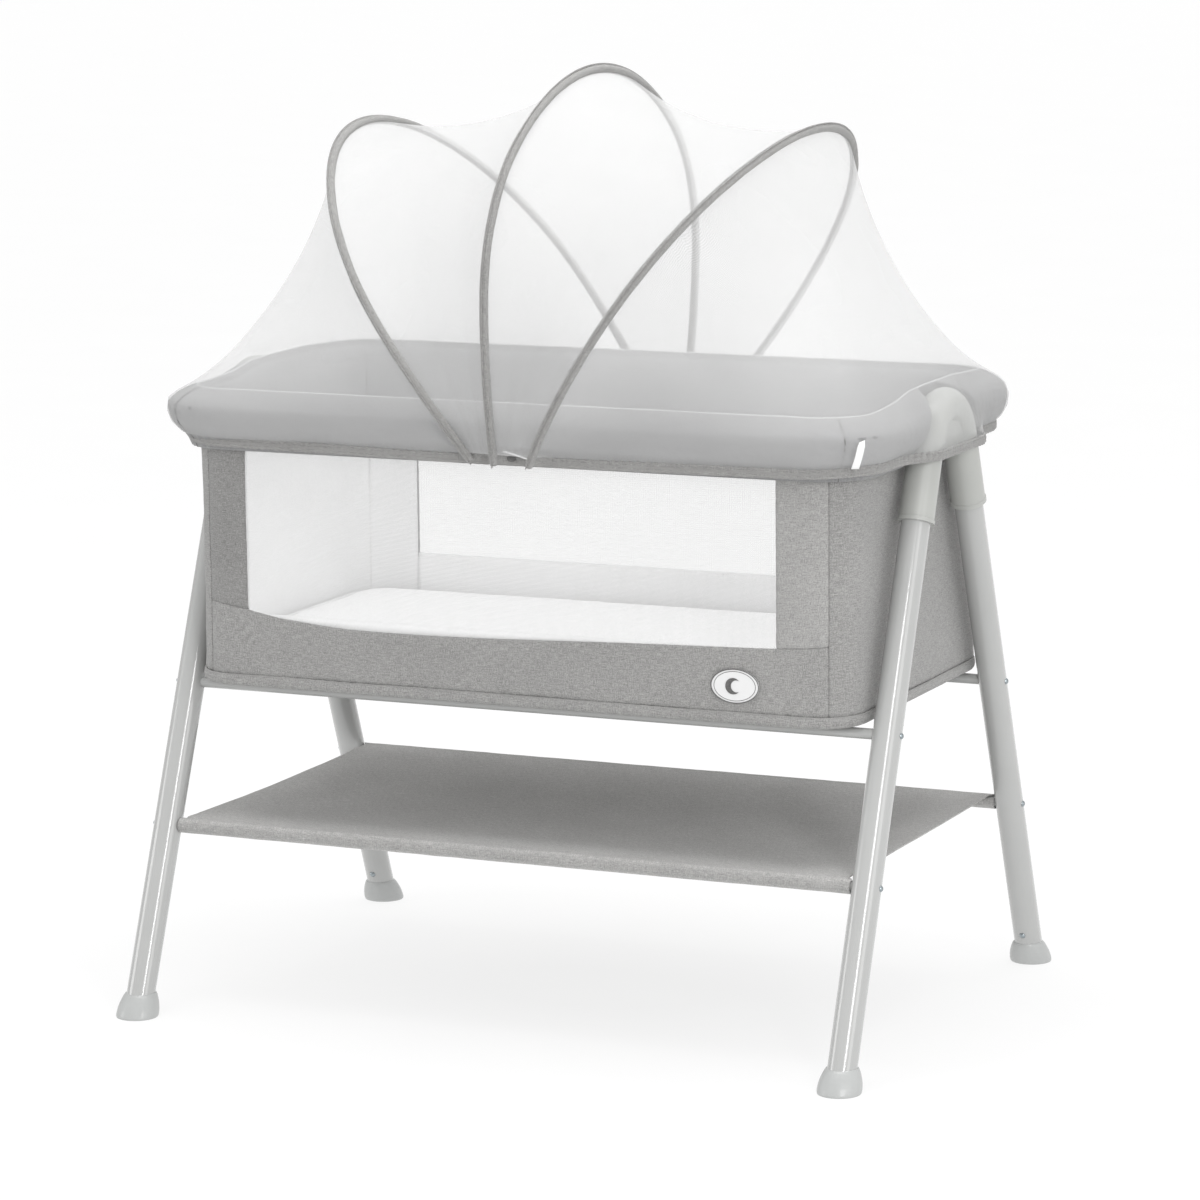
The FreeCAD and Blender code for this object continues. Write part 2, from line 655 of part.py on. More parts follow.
def shortened(line, gap_start, gap_end):
    """The same row of points with its ends pulled in along it."""
    first = line[0] + (line[1] - line[0]).normalize() * gap_start
    last = line[-1] + (line[-2] - line[-1]).normalize() * gap_end
    return [first] + line[1:-1] + [last]


def net_middle(name):
    """The net between the centre hoop and a side hoop, drawn in a little between them."""
    grid = []
    steps = 14
    for i in range(steps + 1):
        share = i / steps
        a = hoop_point("center", share, 40.0)
        b = hoop_point(name, share, 40.0)
        core = V((a.x + b.x) / 2, 0, HINGE_Z + 60)
        line = []
        for j in range(5):
            across = j / 4
            point = a + (b - a) * across
            pull = 4 * across * (1 - across) * 0.045
            line.append(point + (core - point) * pull)
        grid.append(shortened(line, NET_GAP, NET_GAP))
    if name == "left":
        grid = [line[::-1] for line in grid]
    return thin_solid(grid)


def rim_line(share, side, offset, z):
    """A point round the outside of the rim's end, share 0 at its front and 1 at its rear."""
    half_x, half_y, radius = RIM_X + offset, RIM_Y + offset, RIM_CORNER + offset
    start_x = abs(HOOPS[side]["x"]) + NET_START
    run = half_x - radius - start_x
    bend = radius * math.pi / 2
    across = 2 * (half_y - radius)
    distance = share * (2 * run + 2 * bend + across)
    if distance <= run:
        x, y = start_x + distance, -half_y
    elif distance <= run + bend:
        angle = (distance - run) / radius
        x = half_x - radius + radius * math.sin(angle)
        y = -half_y + radius - radius * math.cos(angle)
    elif distance <= run + bend + across:
        x, y = half_x, -half_y + radius + distance - run - bend
    elif distance <= run + 2 * bend + across:
        angle = (distance - run - bend - across) / radius
        x = half_x - radius + radius * math.cos(angle)
        y = half_y - radius + radius * math.sin(angle)
    else:
        x, y = start_x + run - (distance - run - 2 * bend - across), half_y
    return V(SIDES[side] * x, y, z)


def net_end(side):
    """The net between a side hoop and the rim's end, drawn in like a tent, over the head."""
    grid = []
    steps = 20
    for i in range(steps + 1):
        share = i / steps
        hem = rim_line(share, side, NET_OFFSET, HEM_TOP_Z + 8)
        widest = rim_line(share, side, NET_OFFSET, RIM_WIDEST_Z + 8)
        if abs(widest.x) > RIM_X:
            widest.z += (HEAD_TOP_Z - RIM_WIDEST_Z) * math.exp(-(widest.y / HEAD_NOTCH_Y) ** 2)
        top = hoop_point(side, share, 110.0)
        core = V(SIDES[side] * 200, 0, HINGE_Z + 60)
        line = [hem]
        for j in range(5):
            across = j / 4
            point = widest + (top - widest) * across
            pull = 4 * across * (1 - across) * 0.10 * math.sin(math.pi * share)
            line.append(point + (core - point) * pull)
        grid.append(shortened(line, 0.5, NET_GAP))
    if side == "left":
        grid = [line[::-1] for line in grid]
    return thin_solid(grid)


def corner_tab():
    """A short folded tape that stands up from the hem at the front right corner."""
    tab = box(-6, 6, -0.6, 0.6, 0, 32)
    tab.rotate(V(0, 0, 0), Z_AXIS, 55)
    tab.translate(V(501.0, -258.7, HEM_TOP_Z + 1))
    return tab


# ---------------------------------------------------------------- build

os.makedirs("parts", exist_ok=True)

for face_name in FACES:
    for side_name in SIDES:
        place = face_name + "_" + side_name
        save("leg_" + place, leg(side_name, face_name))
        save("foot_" + place, foot(side_name, face_name))
    save("crossbar_" + face_name, cross_rod(face_name, CROSSBAR_Z))
    save("shelf_rod_" + face_name, cross_rod(face_name, SHELF_ROD_Z))
for side_name in SIDES:
    save("head_" + side_name, head(side_name))

joints = [(side, face, z) for side in SIDES for face in FACES for z in (CROSSBAR_Z, SHELF_ROD_Z)]
rod_screws = [screw(screw_seat(*joint), X_AXIS * -SIDES[joint[0]], ROD_SCREW_LENGTH) for joint in joints]
save("rod_screws", Part.makeCompound(rod_screws))
save("rod_inserts", Part.makeCompound([rod_insert(*joint) for joint in joints]))
foot_lines = [foot_screw_line(side, face) for side in SIDES for face in FACES]
save("foot_screws", Part.makeCompound([screw(*line, FOOT_SCREW_LENGTH) for line in foot_lines]))
save("storage_shelf", storage_shelf())

for node, shape in rim_frame().items():
    save(node, shape)
for node, shape in rim_pads().items():
    save(node, shape)
bolt_lines = rim_bolt_lines("left") + rim_bolt_lines("right")
save("rim_bolts", Part.makeCompound([rim_bolt(*line) for line in bolt_lines]))

fabric_wall = ring(BODY_X, BODY_Y, BODY_CORNER, WALL, BAND_Z, WALL_TOP_Z)
mesh_wall = ring(BODY_X, BODY_Y, BODY_CORNER, MESH, SILL_Z, WALL_TOP_Z)
for face_name in FACES:
    save(face_name + "_panel", wall_piece(fabric_wall, -SEAM_X, SEAM_X, face_name, BAND_Z, SILL_Z))
    mesh = wall_piece(mesh_wall, WINDOW_LEFT_X, WINDOW_RIGHT_X, face_name, SILL_Z, WALL_TOP_Z)
    save("window_" + face_name, mesh)
    strips = {"left": (-SEAM_X, WINDOW_LEFT_X), "right": (WINDOW_RIGHT_X, SEAM_X)}
    for side_name, (low_x, high_x) in strips.items():
        strip = wall_piece(fabric_wall, low_x, high_x, face_name, SILL_Z, WALL_TOP_Z)
        save("window_side_" + face_name + "_" + side_name, strip)
for side_name, sign in SIDES.items():
    low_x, high_x = sorted((sign * SEAM_X, sign * 2 * BODY_X))
    end_wall = fabric_wall.common(box(low_x, high_x, -BODY_Y, BODY_Y, BAND_Z, WALL_TOP_Z))
    save("end_panel_" + side_name, end_wall.Solids[0])
save("bottom_panel", bottom_panel())
save("bottom_piping", piping())
board_x, board_y = BODY_X - WALL - 1, BODY_Y - WALL - 1
save("base_board", plate(board_x, board_y, BODY_CORNER - WALL, BOTTOM_Z + BOTTOM_SKIN, BOARD_TOP_Z))
save("inner_lining", inner_lining())
save("mattress", mattress())
save("badge", badge())

save("net_hem", net_hem())
save("hoop_pockets", hoop_pockets())
for hoop_name in HOOPS:
    save("hoop_rod_" + hoop_name, tube_along(hoop_edges(hoop_name, 0.0), HOOP_ROD_RADIUS))
    sleeve_line = hoop_edges(hoop_name, HOOP_SLEEVE_START)
    save("hoop_sleeve_" + hoop_name, tube_along(sleeve_line, HOOP_SLEEVE_RADIUS, HOOP_SLEEVE_BORE))
    save("rod_tips_" + hoop_name, rod_tips(hoop_name))
for side_name in SIDES:
    save("net_middle_" + side_name, net_middle(side_name))
    save("net_end_" + side_name, net_end(side_name))
save("corner_tab", corner_tab())
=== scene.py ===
"""Bassinet on an A-frame stand: the soft goods, materials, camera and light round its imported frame.

Metres. X runs along the bassinet, Y from front to back, Z up, with the floor at 0.
"""
import math

import bpy
import numpy as np
from mathutils import Matrix, Vector, noise


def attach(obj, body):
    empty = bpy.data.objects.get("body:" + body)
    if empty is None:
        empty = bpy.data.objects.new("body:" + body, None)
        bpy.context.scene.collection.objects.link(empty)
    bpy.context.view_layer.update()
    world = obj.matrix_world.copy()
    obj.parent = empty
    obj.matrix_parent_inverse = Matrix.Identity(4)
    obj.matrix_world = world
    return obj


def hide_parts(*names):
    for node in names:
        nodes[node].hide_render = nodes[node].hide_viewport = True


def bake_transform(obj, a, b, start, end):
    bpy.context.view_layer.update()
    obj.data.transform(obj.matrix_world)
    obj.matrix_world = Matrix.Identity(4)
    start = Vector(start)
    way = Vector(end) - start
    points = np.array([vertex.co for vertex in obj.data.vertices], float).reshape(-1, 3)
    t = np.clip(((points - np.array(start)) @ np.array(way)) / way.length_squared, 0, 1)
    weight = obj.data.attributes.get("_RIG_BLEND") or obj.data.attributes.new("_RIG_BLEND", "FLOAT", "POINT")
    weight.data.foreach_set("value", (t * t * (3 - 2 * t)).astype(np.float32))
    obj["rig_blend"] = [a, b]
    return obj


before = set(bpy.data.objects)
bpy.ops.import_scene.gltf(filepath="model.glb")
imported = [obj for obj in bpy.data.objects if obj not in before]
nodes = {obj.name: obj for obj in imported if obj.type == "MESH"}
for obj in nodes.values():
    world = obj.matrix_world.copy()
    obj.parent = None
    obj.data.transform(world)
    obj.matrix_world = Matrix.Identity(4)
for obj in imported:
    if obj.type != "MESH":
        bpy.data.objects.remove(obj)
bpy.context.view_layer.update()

# ---------------------------------------------------------------- sizes shared by several pieces

BODY = (0.470, 0.261, 0.065)        # basket walls: half length, half width, corner radius
RIM = (0.476, 0.261, 0.066)         # line that the rim roll's section is measured from
BOTTOM_Z, BAND_Z, SILL_Z, WALL_TOP_Z = 0.437, 0.450, 0.536, 0.756
WINDOW_X = (-0.380, 0.372)
SEAM_X = 0.440
ROLL = (                            # the roll's section: offset from its line, height
    (-0.0160, 0.7520), (-0.0160, 0.7750), (-0.0160, 0.8000), (-0.0160, 0.8200), (-0.0148, 0.8290),
    (-0.0110, 0.8350), (-0.0060, 0.8385), (0.0000, 0.8400), (0.0090, 0.8378), (0.0180, 0.8338),
    (0.0265, 0.8285), (0.0335, 0.8220), (0.0378, 0.8145), (0.0390, 0.8060), (0.0378, 0.7965),
    (0.0340, 0.7870), (0.0275, 0.7785), (0.0210, 0.7725), (0.0150, 0.7680), (0.0105, 0.7610),
    (0.0070, 0.7520),
)
RIDGE_RISE = (                      # how far the ridge is above or below that, from front to back
    (-0.261, -0.0085), (-0.175, -0.0085), (-0.110, -0.0045), (-0.060, 0.0040), (0.000, 0.0060),
    (0.100, 0.0065), (0.180, 0.0030), (0.261, 0.0),
)
HEM_PLAN = ((0.090, 0.2905, 0.400), (0.496, 0.281, 0.084), (0.4975, 0.142, 0.060), (0.5285, 0.084, 0.040))
HEM_Z = (0.757, 0.770)
HINGE_Z = 0.763
HOOPS = {  # hinge x, lean in degrees, half width at the hinge, widest, its height, top, shoulder radius
    "left": (-0.034, -34.75, 0.300, 0.321, 0.187, 0.494, 0.290),
    "center": (0.007, 1.0, 0.314, 0.345, 0.212, 0.480, 0.230),
    "right": (0.058, 33.5, 0.315, 0.364, 0.180, 0.491, 0.280),
}
ROD_Y, ROD_Z = 0.2739, 0.242        # shelf rods


# ---------------------------------------------------------------- mesh helpers


def smooth(edge0, edge1, x):
    t = np.clip((np.asarray(x, float) - edge0) / (edge1 - edge0), 0, 1)
    return t * t * (3 - 2 * t)


def lumps(points, scale, seed):
    """Smooth noise from about -1 to 1 at each point."""
    flat = np.asarray(points, float).reshape(-1, 3)
    shift = Vector((seed * 7.3, seed * 3.1, seed * 5.7))
    values = [noise.noise(Vector(p) * scale + shift) for p in flat]
    return np.array(values).reshape(np.asarray(points).shape[:-1])


def mesh_piece(name, vertices, faces, material, uv=None):
    mesh = bpy.data.meshes.new(name)
    mesh.from_pydata([tuple(v) for v in vertices], [], faces)
    mesh.polygons.foreach_set("use_smooth", [True] * len(mesh.polygons))
    if uv is not None:
        layer = mesh.uv_layers.new(name="UVMap")
        corners = np.zeros(len(mesh.loops), np.int32)
        mesh.loops.foreach_get("vertex_index", corners)
        layer.data.foreach_set("uv", np.asarray(uv, np.float32)[corners].ravel())
    mesh.materials.append(material)
    piece = bpy.data.objects.new(name, mesh)
    bpy.context.collection.objects.link(piece)
    mesh.update()
    return piece


def arc_lengths(points, axis):
    steps = np.linalg.norm(np.diff(points, axis=axis), axis=-1)
    shape = list(steps.shape)
    shape[axis] = 1
    return np.concatenate([np.zeros(shape), np.cumsum(steps, axis=axis)], axis=axis)


def grid_piece(name, grid, material, closed=False, thickness=0.0, uv=None, flip=False, around=False):
    """A sheet from a grid of points. closed joins its last row to the first, around its last column."""
    grid = np.asarray(grid, float)
    rows, columns = grid.shape[:2]
    if uv is None:
        uv = np.stack([arc_lengths(grid, 0), arc_lengths(grid, 1)], axis=-1)
    if closed:
        grid = np.concatenate([grid, grid[:1]], axis=0)
        last = 2 * uv[-1:] - uv[-2:-1]
        uv = np.concatenate([uv, last], axis=0)
    index = np.arange(rows * columns).reshape(rows, columns)
    index = np.concatenate([index, index[:1]], axis=0) if closed else index
    index = np.concatenate([index, index[:, :1]], axis=1) if around else index
    a, b, c, d = index[:-1, :-1], index[1:, :-1], index[1:, 1:], index[:-1, 1:]
    quads = np.stack([a, b, c, d] if not flip else [a, d, c, b], axis=-1).reshape(-1, 4)
    piece = mesh_piece(name, grid[:rows].reshape(-1, 3), quads.tolist(), material, uv[:rows].reshape(-1, 2))
    if thickness:
        solid = piece.modifiers.new("thickness", "SOLIDIFY")
        solid.thickness = thickness
        solid.offset = -1
        solid.use_even_offset = False
    return piece


def tube(name, line, radius, material, sides=12, closed=False, caps=True, uv_turn=1.0):
    """A tube along a line. radius is a number, or an array with one value for each point and side."""
    line = np.asarray(line, float)
    count = len(line)
    if closed:
        tangent = np.roll(line, -1, axis=0) - np.roll(line, 1, axis=0)
    else:
        tangent = np.gradient(line, axis=0)
    tangent /= np.linalg.norm(tangent, axis=1)[:, None]
    side = np.zeros_like(tangent)
    start = np.cross(tangent[0], (0.31, 0.22, 0.93))
    side[0] = start / np.linalg.norm(start)
    for i in range(1, count):
        moved = side[i - 1] - tangent[i] * (side[i - 1] @ tangent[i])
        side[i] = moved / np.linalg.norm(moved)
    other = np.cross(tangent, side)
    turn = np.linspace(0, 2 * math.pi, sides, endpoint=False)
    if closed:
        twist = math.atan2(side[-1] @ other[0], side[-1] @ side[0])
        turn = turn[None, :] - np.linspace(0, 1, count)[:, None] * twist
    else:
        turn = np.repeat(turn[None, :], count, axis=0)
    reach = np.broadcast_to(np.asarray(radius, float), (count, sides)) if np.ndim(radius) != 1 else np.repeat(
        np.asarray(radius, float)[:, None], sides, axis=1)
    grid = line[:, None] + reach[..., None] * (
        np.cos(turn)[..., None] * side[:, None] + np.sin(turn)[..., None] * other[:, None])
    along = arc_lengths(line, 0)
    mean = float(np.mean(reach))
    uv = np.stack([np.repeat(along[:, None], sides, axis=1),
                   np.repeat(np.linspace(0, 2 * math.pi * mean * uv_turn, sides)[None], count, axis=0)], axis=-1)
    piece = grid_piece(name, grid, material, closed=closed, uv=uv, around=True)
    if caps and not closed:
        mesh = piece.data
        faces = [list(p.vertices) for p in mesh.polygons]
        faces.append(list(range(sides))[::-1])
        faces.append([(count - 1) * sides + k for k in range(sides)])
        old = bpy.data.meshes.new(name)
        points = grid.reshape(-1, 3)
        bpy.data.objects.remove(piece)
        bpy.data.meshes.remove(mesh)
        bpy.data.meshes.remove(old)
        piece = mesh_piece(name, points, faces, material, uv.reshape(-1, 2))
    return piece


def dress(piece, body, slot, *stood_for):
    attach(piece, body)
    if stood_for:
        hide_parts(*stood_for)
    return piece


def track(s, half_x, half_y, radius):
    """Points and outward directions on a rounded rectangle, at distances s from the middle of its front."""
    straight_x, straight_y = half_x - radius, half_y - radius
    bend = radius * math.pi / 2
    total = 4 * (straight_x + straight_y + bend)
    s = np.mod(np.asarray(s, float) + total / 2, total) - total / 2
    sign = np.where(s < 0, -1.0, 1.0)
    d = np.abs(s)
    angle = np.clip((d - straight_x) / radius, 0, math.pi / 2)
    angle = angle + np.clip((d - straight_x - bend - 2 * straight_y) / radius, 0, math.pi / 2)
    x = np.minimum(d, straight_x) - np.maximum(d - straight_x - 2 * bend - 2 * straight_y, 0)
    y = -straight_y + np.clip(d - straight_x - bend, 0, 2 * straight_y)
    normal = np.stack([sign * np.sin(angle), -np.cos(angle)], axis=-1)
    point = np.stack([sign * x, y], axis=-1) + radius * normal
    return point, normal, total


def spaced(points, count, closed=False):
    """A polyline again, with evenly spaced points."""
    points = np.asarray(points, float)
    if closed:
        points = np.concatenate([points, points[:1]])
    along = arc_lengths(points, 0)
    at = np.linspace(0, along[-1], count, endpoint=not closed)
    return np.stack([np.interp(at, along, points[:, k]) for k in range(points.shape[1])], axis=1)


# ---------------------------------------------------------------- materials


class Shade:
    """A Principled material being put together."""

    def __init__(self, name, **values):
        self.material = bpy.data.materials.new(name)
        self.material.use_nodes = True
        self.tree = self.material.node_tree
        self.bsdf = self.tree.nodes["Principled BSDF"]
        for key, value in values.items():
            self.bsdf.inputs[key.replace("_", " ")].default_value = value

    def node(self, kind, inputs=(), **settings):
        made = self.tree.nodes.new("ShaderNode" + kind)
        for key, value in settings.items():
            setattr(made, key, value)
        for key, value in dict(inputs).items():
            socket = made.inputs[key]
            if isinstance(value, bpy.types.NodeSocket):
                self.tree.links.new(value, socket)
            else:
                socket.default_value = value
        return made

    def link(self, output, key):
        self.tree.links.new(output, self.bsdf.inputs[key])

    def coordinates(self, kind, scale):
        place = self.node("TexCoord").outputs[kind]
        return self.node("Mapping", {"Vector": place, "Scale": scale}).outputs["Vector"]

    def noise(self, vector, scale=1.0, detail=3.0, rough=0.55):
        return self.node("TexNoise", {"Vector": vector, "Scale": scale, "Detail": detail, "Roughness": rough}).outputs[0]

    def math(self, kind, a, b=0.0, clamp=False):
        return self.node("Math", {0: a, 1: b}, operation=kind, use_clamp=clamp).outputs[0]

    def ramp(self, value, stops):
        made = self.node("ValToRGB", {"Fac": value})
        ramp = made.color_ramp
        while len(ramp.elements) < len(stops):
            ramp.elements.new(0.5)
        for element, (position, color) in zip(ramp.elements, stops):
            element.position = position
            element.color = (*color, 1.0) if len(color) == 3 else color
        return made.outputs["Color"]

    def bump(self, height, strength, distance):
        made = self.node("Bump", {"Height": height, "Strength": strength, "Distance": distance})
        self.link(made.outputs["Normal"], "Normal")


def srgb(*values):
    return tuple((v / 255 / 12.92) if v <= 10 else ((v / 255 + 0.055) / 1.055) ** 2.4 for v in values)


def grey(light, tint=(1, 1, 1)):
    return tuple(c * t for c, t in zip(srgb(light, light, light), tint))


WARM = (1.012, 1.0, 0.978)


def heather(name, mid, spread=26, kind="UV", sheen=0.25, slubs=0.6, tint=WARM, side=1.0):
    """Woven melange cloth: pale and dark threads both ways, slubs, and a fine plain weave."""
    shade = Shade(name, Roughness=0.92, Sheen_Weight=sheen, Sheen_Roughness=0.6, Specular_IOR_Level=0.25)
    weft = shade.noise(shade.coordinates(kind, (130, 1150, 1150)), 1.0, 2.0)
    warp = shade.noise(shade.coordinates(kind, (1150, 110, 1150)), 1.0, 2.0)
    slub = shade.noise(shade.coordinates(kind, (60, 420, 420)), 1.0, 3.0)
    fleck = shade.noise(shade.coordinates(kind, (680, 560, 680)), 1.0, 2.0)
    broad = shade.noise(shade.coordinates(kind, (9, 9, 9)), 1.0, 2.0)
    threads = shade.math("ADD", weft, warp)
    threads = shade.math("ADD", threads, shade.math("MULTIPLY", slub, 0.9 * slubs))
    threads = shade.math("ADD", threads, shade.math("MULTIPLY", fleck, 1.2))
    threads = shade.math("ADD", threads, shade.math("MULTIPLY", broad, 0.25))
    level = shade.math("DIVIDE", threads, 2.25 + 0.9 * slubs + 1.2, clamp=True)
    stops = ((0.39, grey(mid - spread, tint)), (0.47, grey(mid - spread * 0.3, tint)),
             (0.54, grey(mid + spread * 0.35, tint)), (0.62, grey(min(mid + spread, 252), tint)))
    color = shade.ramp(level, stops)
    # Painted shade: with side below 1, the colour is darkened on faces that stand upright, as if less light reached
    # them.
    if side < 1.0:
        upright = shade.node("SeparateXYZ", {0: shade.node("NewGeometry").outputs["Normal"]}).outputs["Z"]
        upright = shade.node("Math", {0: upright}, operation="ABSOLUTE").outputs[0]
        painted_side_shade = shade.node("MapRange", {"Value": upright, "From Min": 0.45, "From Max": 0.92, "To Min": side, "To Max": 1.0})
        color = shade.node("VectorMath", {0: color, 1: painted_side_shade.outputs[0]}, operation="MULTIPLY").outputs["Vector"]
    shade.link(color, "Base Color")
    weave = shade.coordinates(kind, (1, 1, 1))
    across = shade.node("TexWave", {"Vector": weave, "Scale": 1.0 / 0.0011 / 6.2832 * 3.1416}, bands_direction="X")
    along = shade.node("TexWave", {"Vector": weave, "Scale": 1.0 / 0.0011 / 6.2832 * 3.1416}, bands_direction="Y")
    knots = shade.math("MULTIPLY", across.outputs["Fac"], along.outputs["Fac"])
    shade.bump(shade.math("ADD", knots, level), 0.5, 0.0006)
    return shade.material


def net_cloth(name, alpha, pitch, color=0.95, kind="UV", glow=0.35, low=1.0):
    """Fine net: open cells between soft threads, seen as a thin white veil."""
    shade = Shade(name, Roughness=0.9, Specular_IOR_Level=0.1, Sheen_Weight=0.1)
    place = shade.coordinates(kind, (1 / pitch, 1 / pitch, 1 / pitch))
    cells = shade.node("TexVoronoi", {"Vector": place, "Scale": 1.0, "Randomness": 0.25}, feature="DISTANCE_TO_EDGE")
    thread = shade.math("SUBTRACT", 1.0, shade.math("MULTIPLY", cells.outputs["Distance"], 3.2, clamp=True))
    broad = shade.noise(shade.coordinates(kind, (5, 5, 5)), 1.0, 2.0)
    amount = shade.math("ADD", shade.math("MULTIPLY", thread, alpha * 0.9), shade.math("MULTIPLY", broad, alpha * 0.3))
    amount = shade.math("ADD", amount, alpha * 0.42, clamp=True)
    if low < 1.0:
        height = shade.node("SeparateXYZ", {0: shade.coordinates(kind, (1, 1, 1))}).outputs["Y"]
        fade = shade.node("MapRange", {"Value": height, "From Min": 0.06, "From Max": 0.16, "To Min": low, "To Max": 1.0})
        amount = shade.math("MULTIPLY", amount, fade.outputs[0])
    shade.link(amount, "Alpha")
    shade.link(shade.ramp(broad, ((0.3, (color * 0.98,) * 3), (0.7, (color,) * 3))), "Base Color")
    shade.bump(thread, 0.2, 0.0003)
    translucent = shade.node("BsdfTranslucent", {"Color": (color, color, color, 1)})
    clear = shade.node("BsdfTransparent")
    thin = shade.node("MixShader", {0: amount, 1: clear.outputs[0], 2: translucent.outputs[0]})
    both = shade.node("MixShader", {0: glow, 1: shade.bsdf.outputs[0], 2: thin.outputs[0]})
    shade.tree.links.new(both.outputs[0], shade.tree.nodes["Material Output"].inputs["Surface"])
    return shade.material


def white_cloth(name, level, pitch=0.0016, kind="UV", rough=0.9):
    shade = Shade(name, Roughness=rough, Sheen_Weight=0.2, Specular_IOR_Level=0.2)
    place = shade.coordinates(kind, (1 / pitch, 1 / pitch, 1 / pitch))
    knit = shade.node("TexVoronoi", {"Vector": place, "Scale": 1.0, "Randomness": 0.3}, feature="DISTANCE_TO_EDGE")
    broad = shade.noise(shade.coordinates(kind, (14, 14, 14)), 1.0, 3.0)
    mix = shade.math("ADD", shade.math("MULTIPLY", knit.outputs["Distance"], -0.35), shade.math("MULTIPLY", broad, 0.3))
    mix = shade.math("ADD", mix, 0.5)
    shade.link(shade.ramp(mix, ((0.3, grey(level - 9)), (0.75, grey(level)))), "Base Color")
    shade.bump(knit.outputs["Distance"], 0.25, 0.0004)
    return shade.material


def plastic(name, color, rough=0.34, grain=0.05):
    shade = Shade(name, Coat_Weight=0.25, Coat_Roughness=0.18, Specular_IOR_Level=0.5)
    place = shade.coordinates("Object", (1, 1, 1))
    pits = shade.noise(place, 900.0, 3.0)
    broad = shade.noise(place, 22.0, 3.0)
    shade.link(shade.ramp(broad, ((0.35, tuple(c * 0.965 for c in color)), (0.65, color))), "Base Color")
    shade.link(shade.math("ADD", shade.math("MULTIPLY", broad, 0.14), rough - 0.07), "Roughness")
    shade.bump(pits, grain, 0.0003)
    return shade.material


def paint(name, color, rough=0.2):
    """Satin powder paint with a faint orange peel."""
    shade = Shade(name, Coat_Weight=0.9, Coat_Roughness=0.06, Specular_IOR_Level=0.35)
    place = shade.coordinates("Object", (1, 1, 1))
    peel = shade.noise(place, 420.0, 2.0)
    broad = shade.noise(place, 14.0, 3.0)
    shade.link(shade.ramp(broad, ((0.35, tuple(c * 0.97 for c in color)), (0.65, color))), "Base Color")
    shade.link(shade.math("ADD", shade.math("MULTIPLY", broad, 0.08), rough), "Roughness")
    shade.bump(peel, 0.008, 0.0002)
    return shade.material


def metal(name, color, rough=0.3):
    shade = Shade(name, Metallic=1.0)
    place = shade.coordinates("Object", (1, 1, 1))
    broad = shade.noise(place, 160.0, 4.0)
    shade.link(shade.ramp(broad, ((0.3, tuple(c * 0.85 for c in color)), (0.7, color))), "Base Color")
    shade.link(shade.math("ADD", shade.math("MULTIPLY", broad, 0.2), rough - 0.1), "Roughness")
    shade.bump(shade.noise(place, 1500.0, 2.0), 0.08, 0.0002)
    return shade.material


GREEN_GREY = (0.992, 1.0, 0.985)
leg_paint = paint("leg_paint", grey(176, GREEN_GREY))
head_plastic = plastic("head_plastic", grey(174, (0.985, 1.0, 0.955)))
foot_plastic = plastic("foot_plastic", grey(178, (0.98, 1.0, 0.99)), rough=0.38)
zinc = metal("zinc", (0.36, 0.40, 0.42))
board_plastic = plastic("board_plastic", grey(190), rough=0.6)
basket_cloth = heather("basket_cloth", 149, spread=30)
# The window strips are the basket's cloth: the left copy is darker as painted shade, the right copy lighter as painted
# light.
strip_cloths = {"left": heather("strip_cloth_left_painted_shade", 137, 28), "right": heather("strip_cloth_right_painted_light", 160, 28)}
# The shelf cloth's upright faces, such as its sleeves round the rods, are darkened through side=0.78: painted shade.
shelf_cloth = heather("shelf_cloth", 180, spread=32, side=0.78)
# A lighter copy of the rim cloth for the roll's inner side: painted light, with the outer copy below as the shaded one.
rim_inner_painted_light = heather("rim_inner_painted_light", 158, spread=12, sheen=0.3, slubs=0.6, tint=(1.0, 1.0, 1.005))
rim_cloth = heather("rim_cloth", 136, spread=14, sheen=0.3, slubs=0.6, tint=(1.0, 1.0, 1.005))
binding_cloth = heather("binding_cloth", 148, spread=24)
dark_cloth = heather("dark_cloth", 96, spread=18)
thread = heather("thread", 150, spread=14)
canopy_net = net_cloth("canopy_net", 0.50, 0.0012, color=0.79)
tent_net = net_cloth("tent_net", 0.50, 0.0012, color=0.82, low=0.80)
window_mesh = net_cloth("window_mesh", 0.32, 0.0015, color=0.86)
rear_mesh = net_cloth("rear_mesh", 0.30, 0.0028, color=0.86)
lining_cloth = white_cloth("lining_cloth", 246, pitch=0.0030)
mattress_cloth = white_cloth("mattress_cloth", 249, kind="Object")
tape_cloth = white_cloth("tape_cloth", 238, pitch=0.0008)
badge_cloth = white_cloth("badge_cloth", 226, pitch=0.0006)
seam_cloth = heather("seam_cloth", 118, spread=14)
# Much lighter than the rim cloth: the colour of the ridge piping is a painted highlight.
ridge_highlight_cloth = heather("ridge_highlight_cloth", 212, spread=10, slubs=0.6, tint=(1.0, 1.0, 1.005))

# ---------------------------------------------------------------- CAD nodes that stay

KEPT = {
    leg_paint: ["crossbar_front", "crossbar_rear", "shelf_rod_front", "shelf_rod_rear", "rim_rail_front", "rim_rail_rear",
                "rim_end_left", "rim_end_right"],
    head_plastic: ["head_left", "head_right"],
    zinc: ["rod_screws", "foot_screws", "rim_bolts", "hoop_rod_left", "hoop_rod_center", "hoop_rod_right"],
    board_plastic: ["rod_inserts", "base_board", "rod_tips_left", "rod_tips_center", "rod_tips_right"],
}
for material, names in KEPT.items():
    for name in names:
        mesh = nodes[name].data
        mesh.materials.clear()
        mesh.materials.append(material)

# ---------------------------------------------------------------- legs and feet


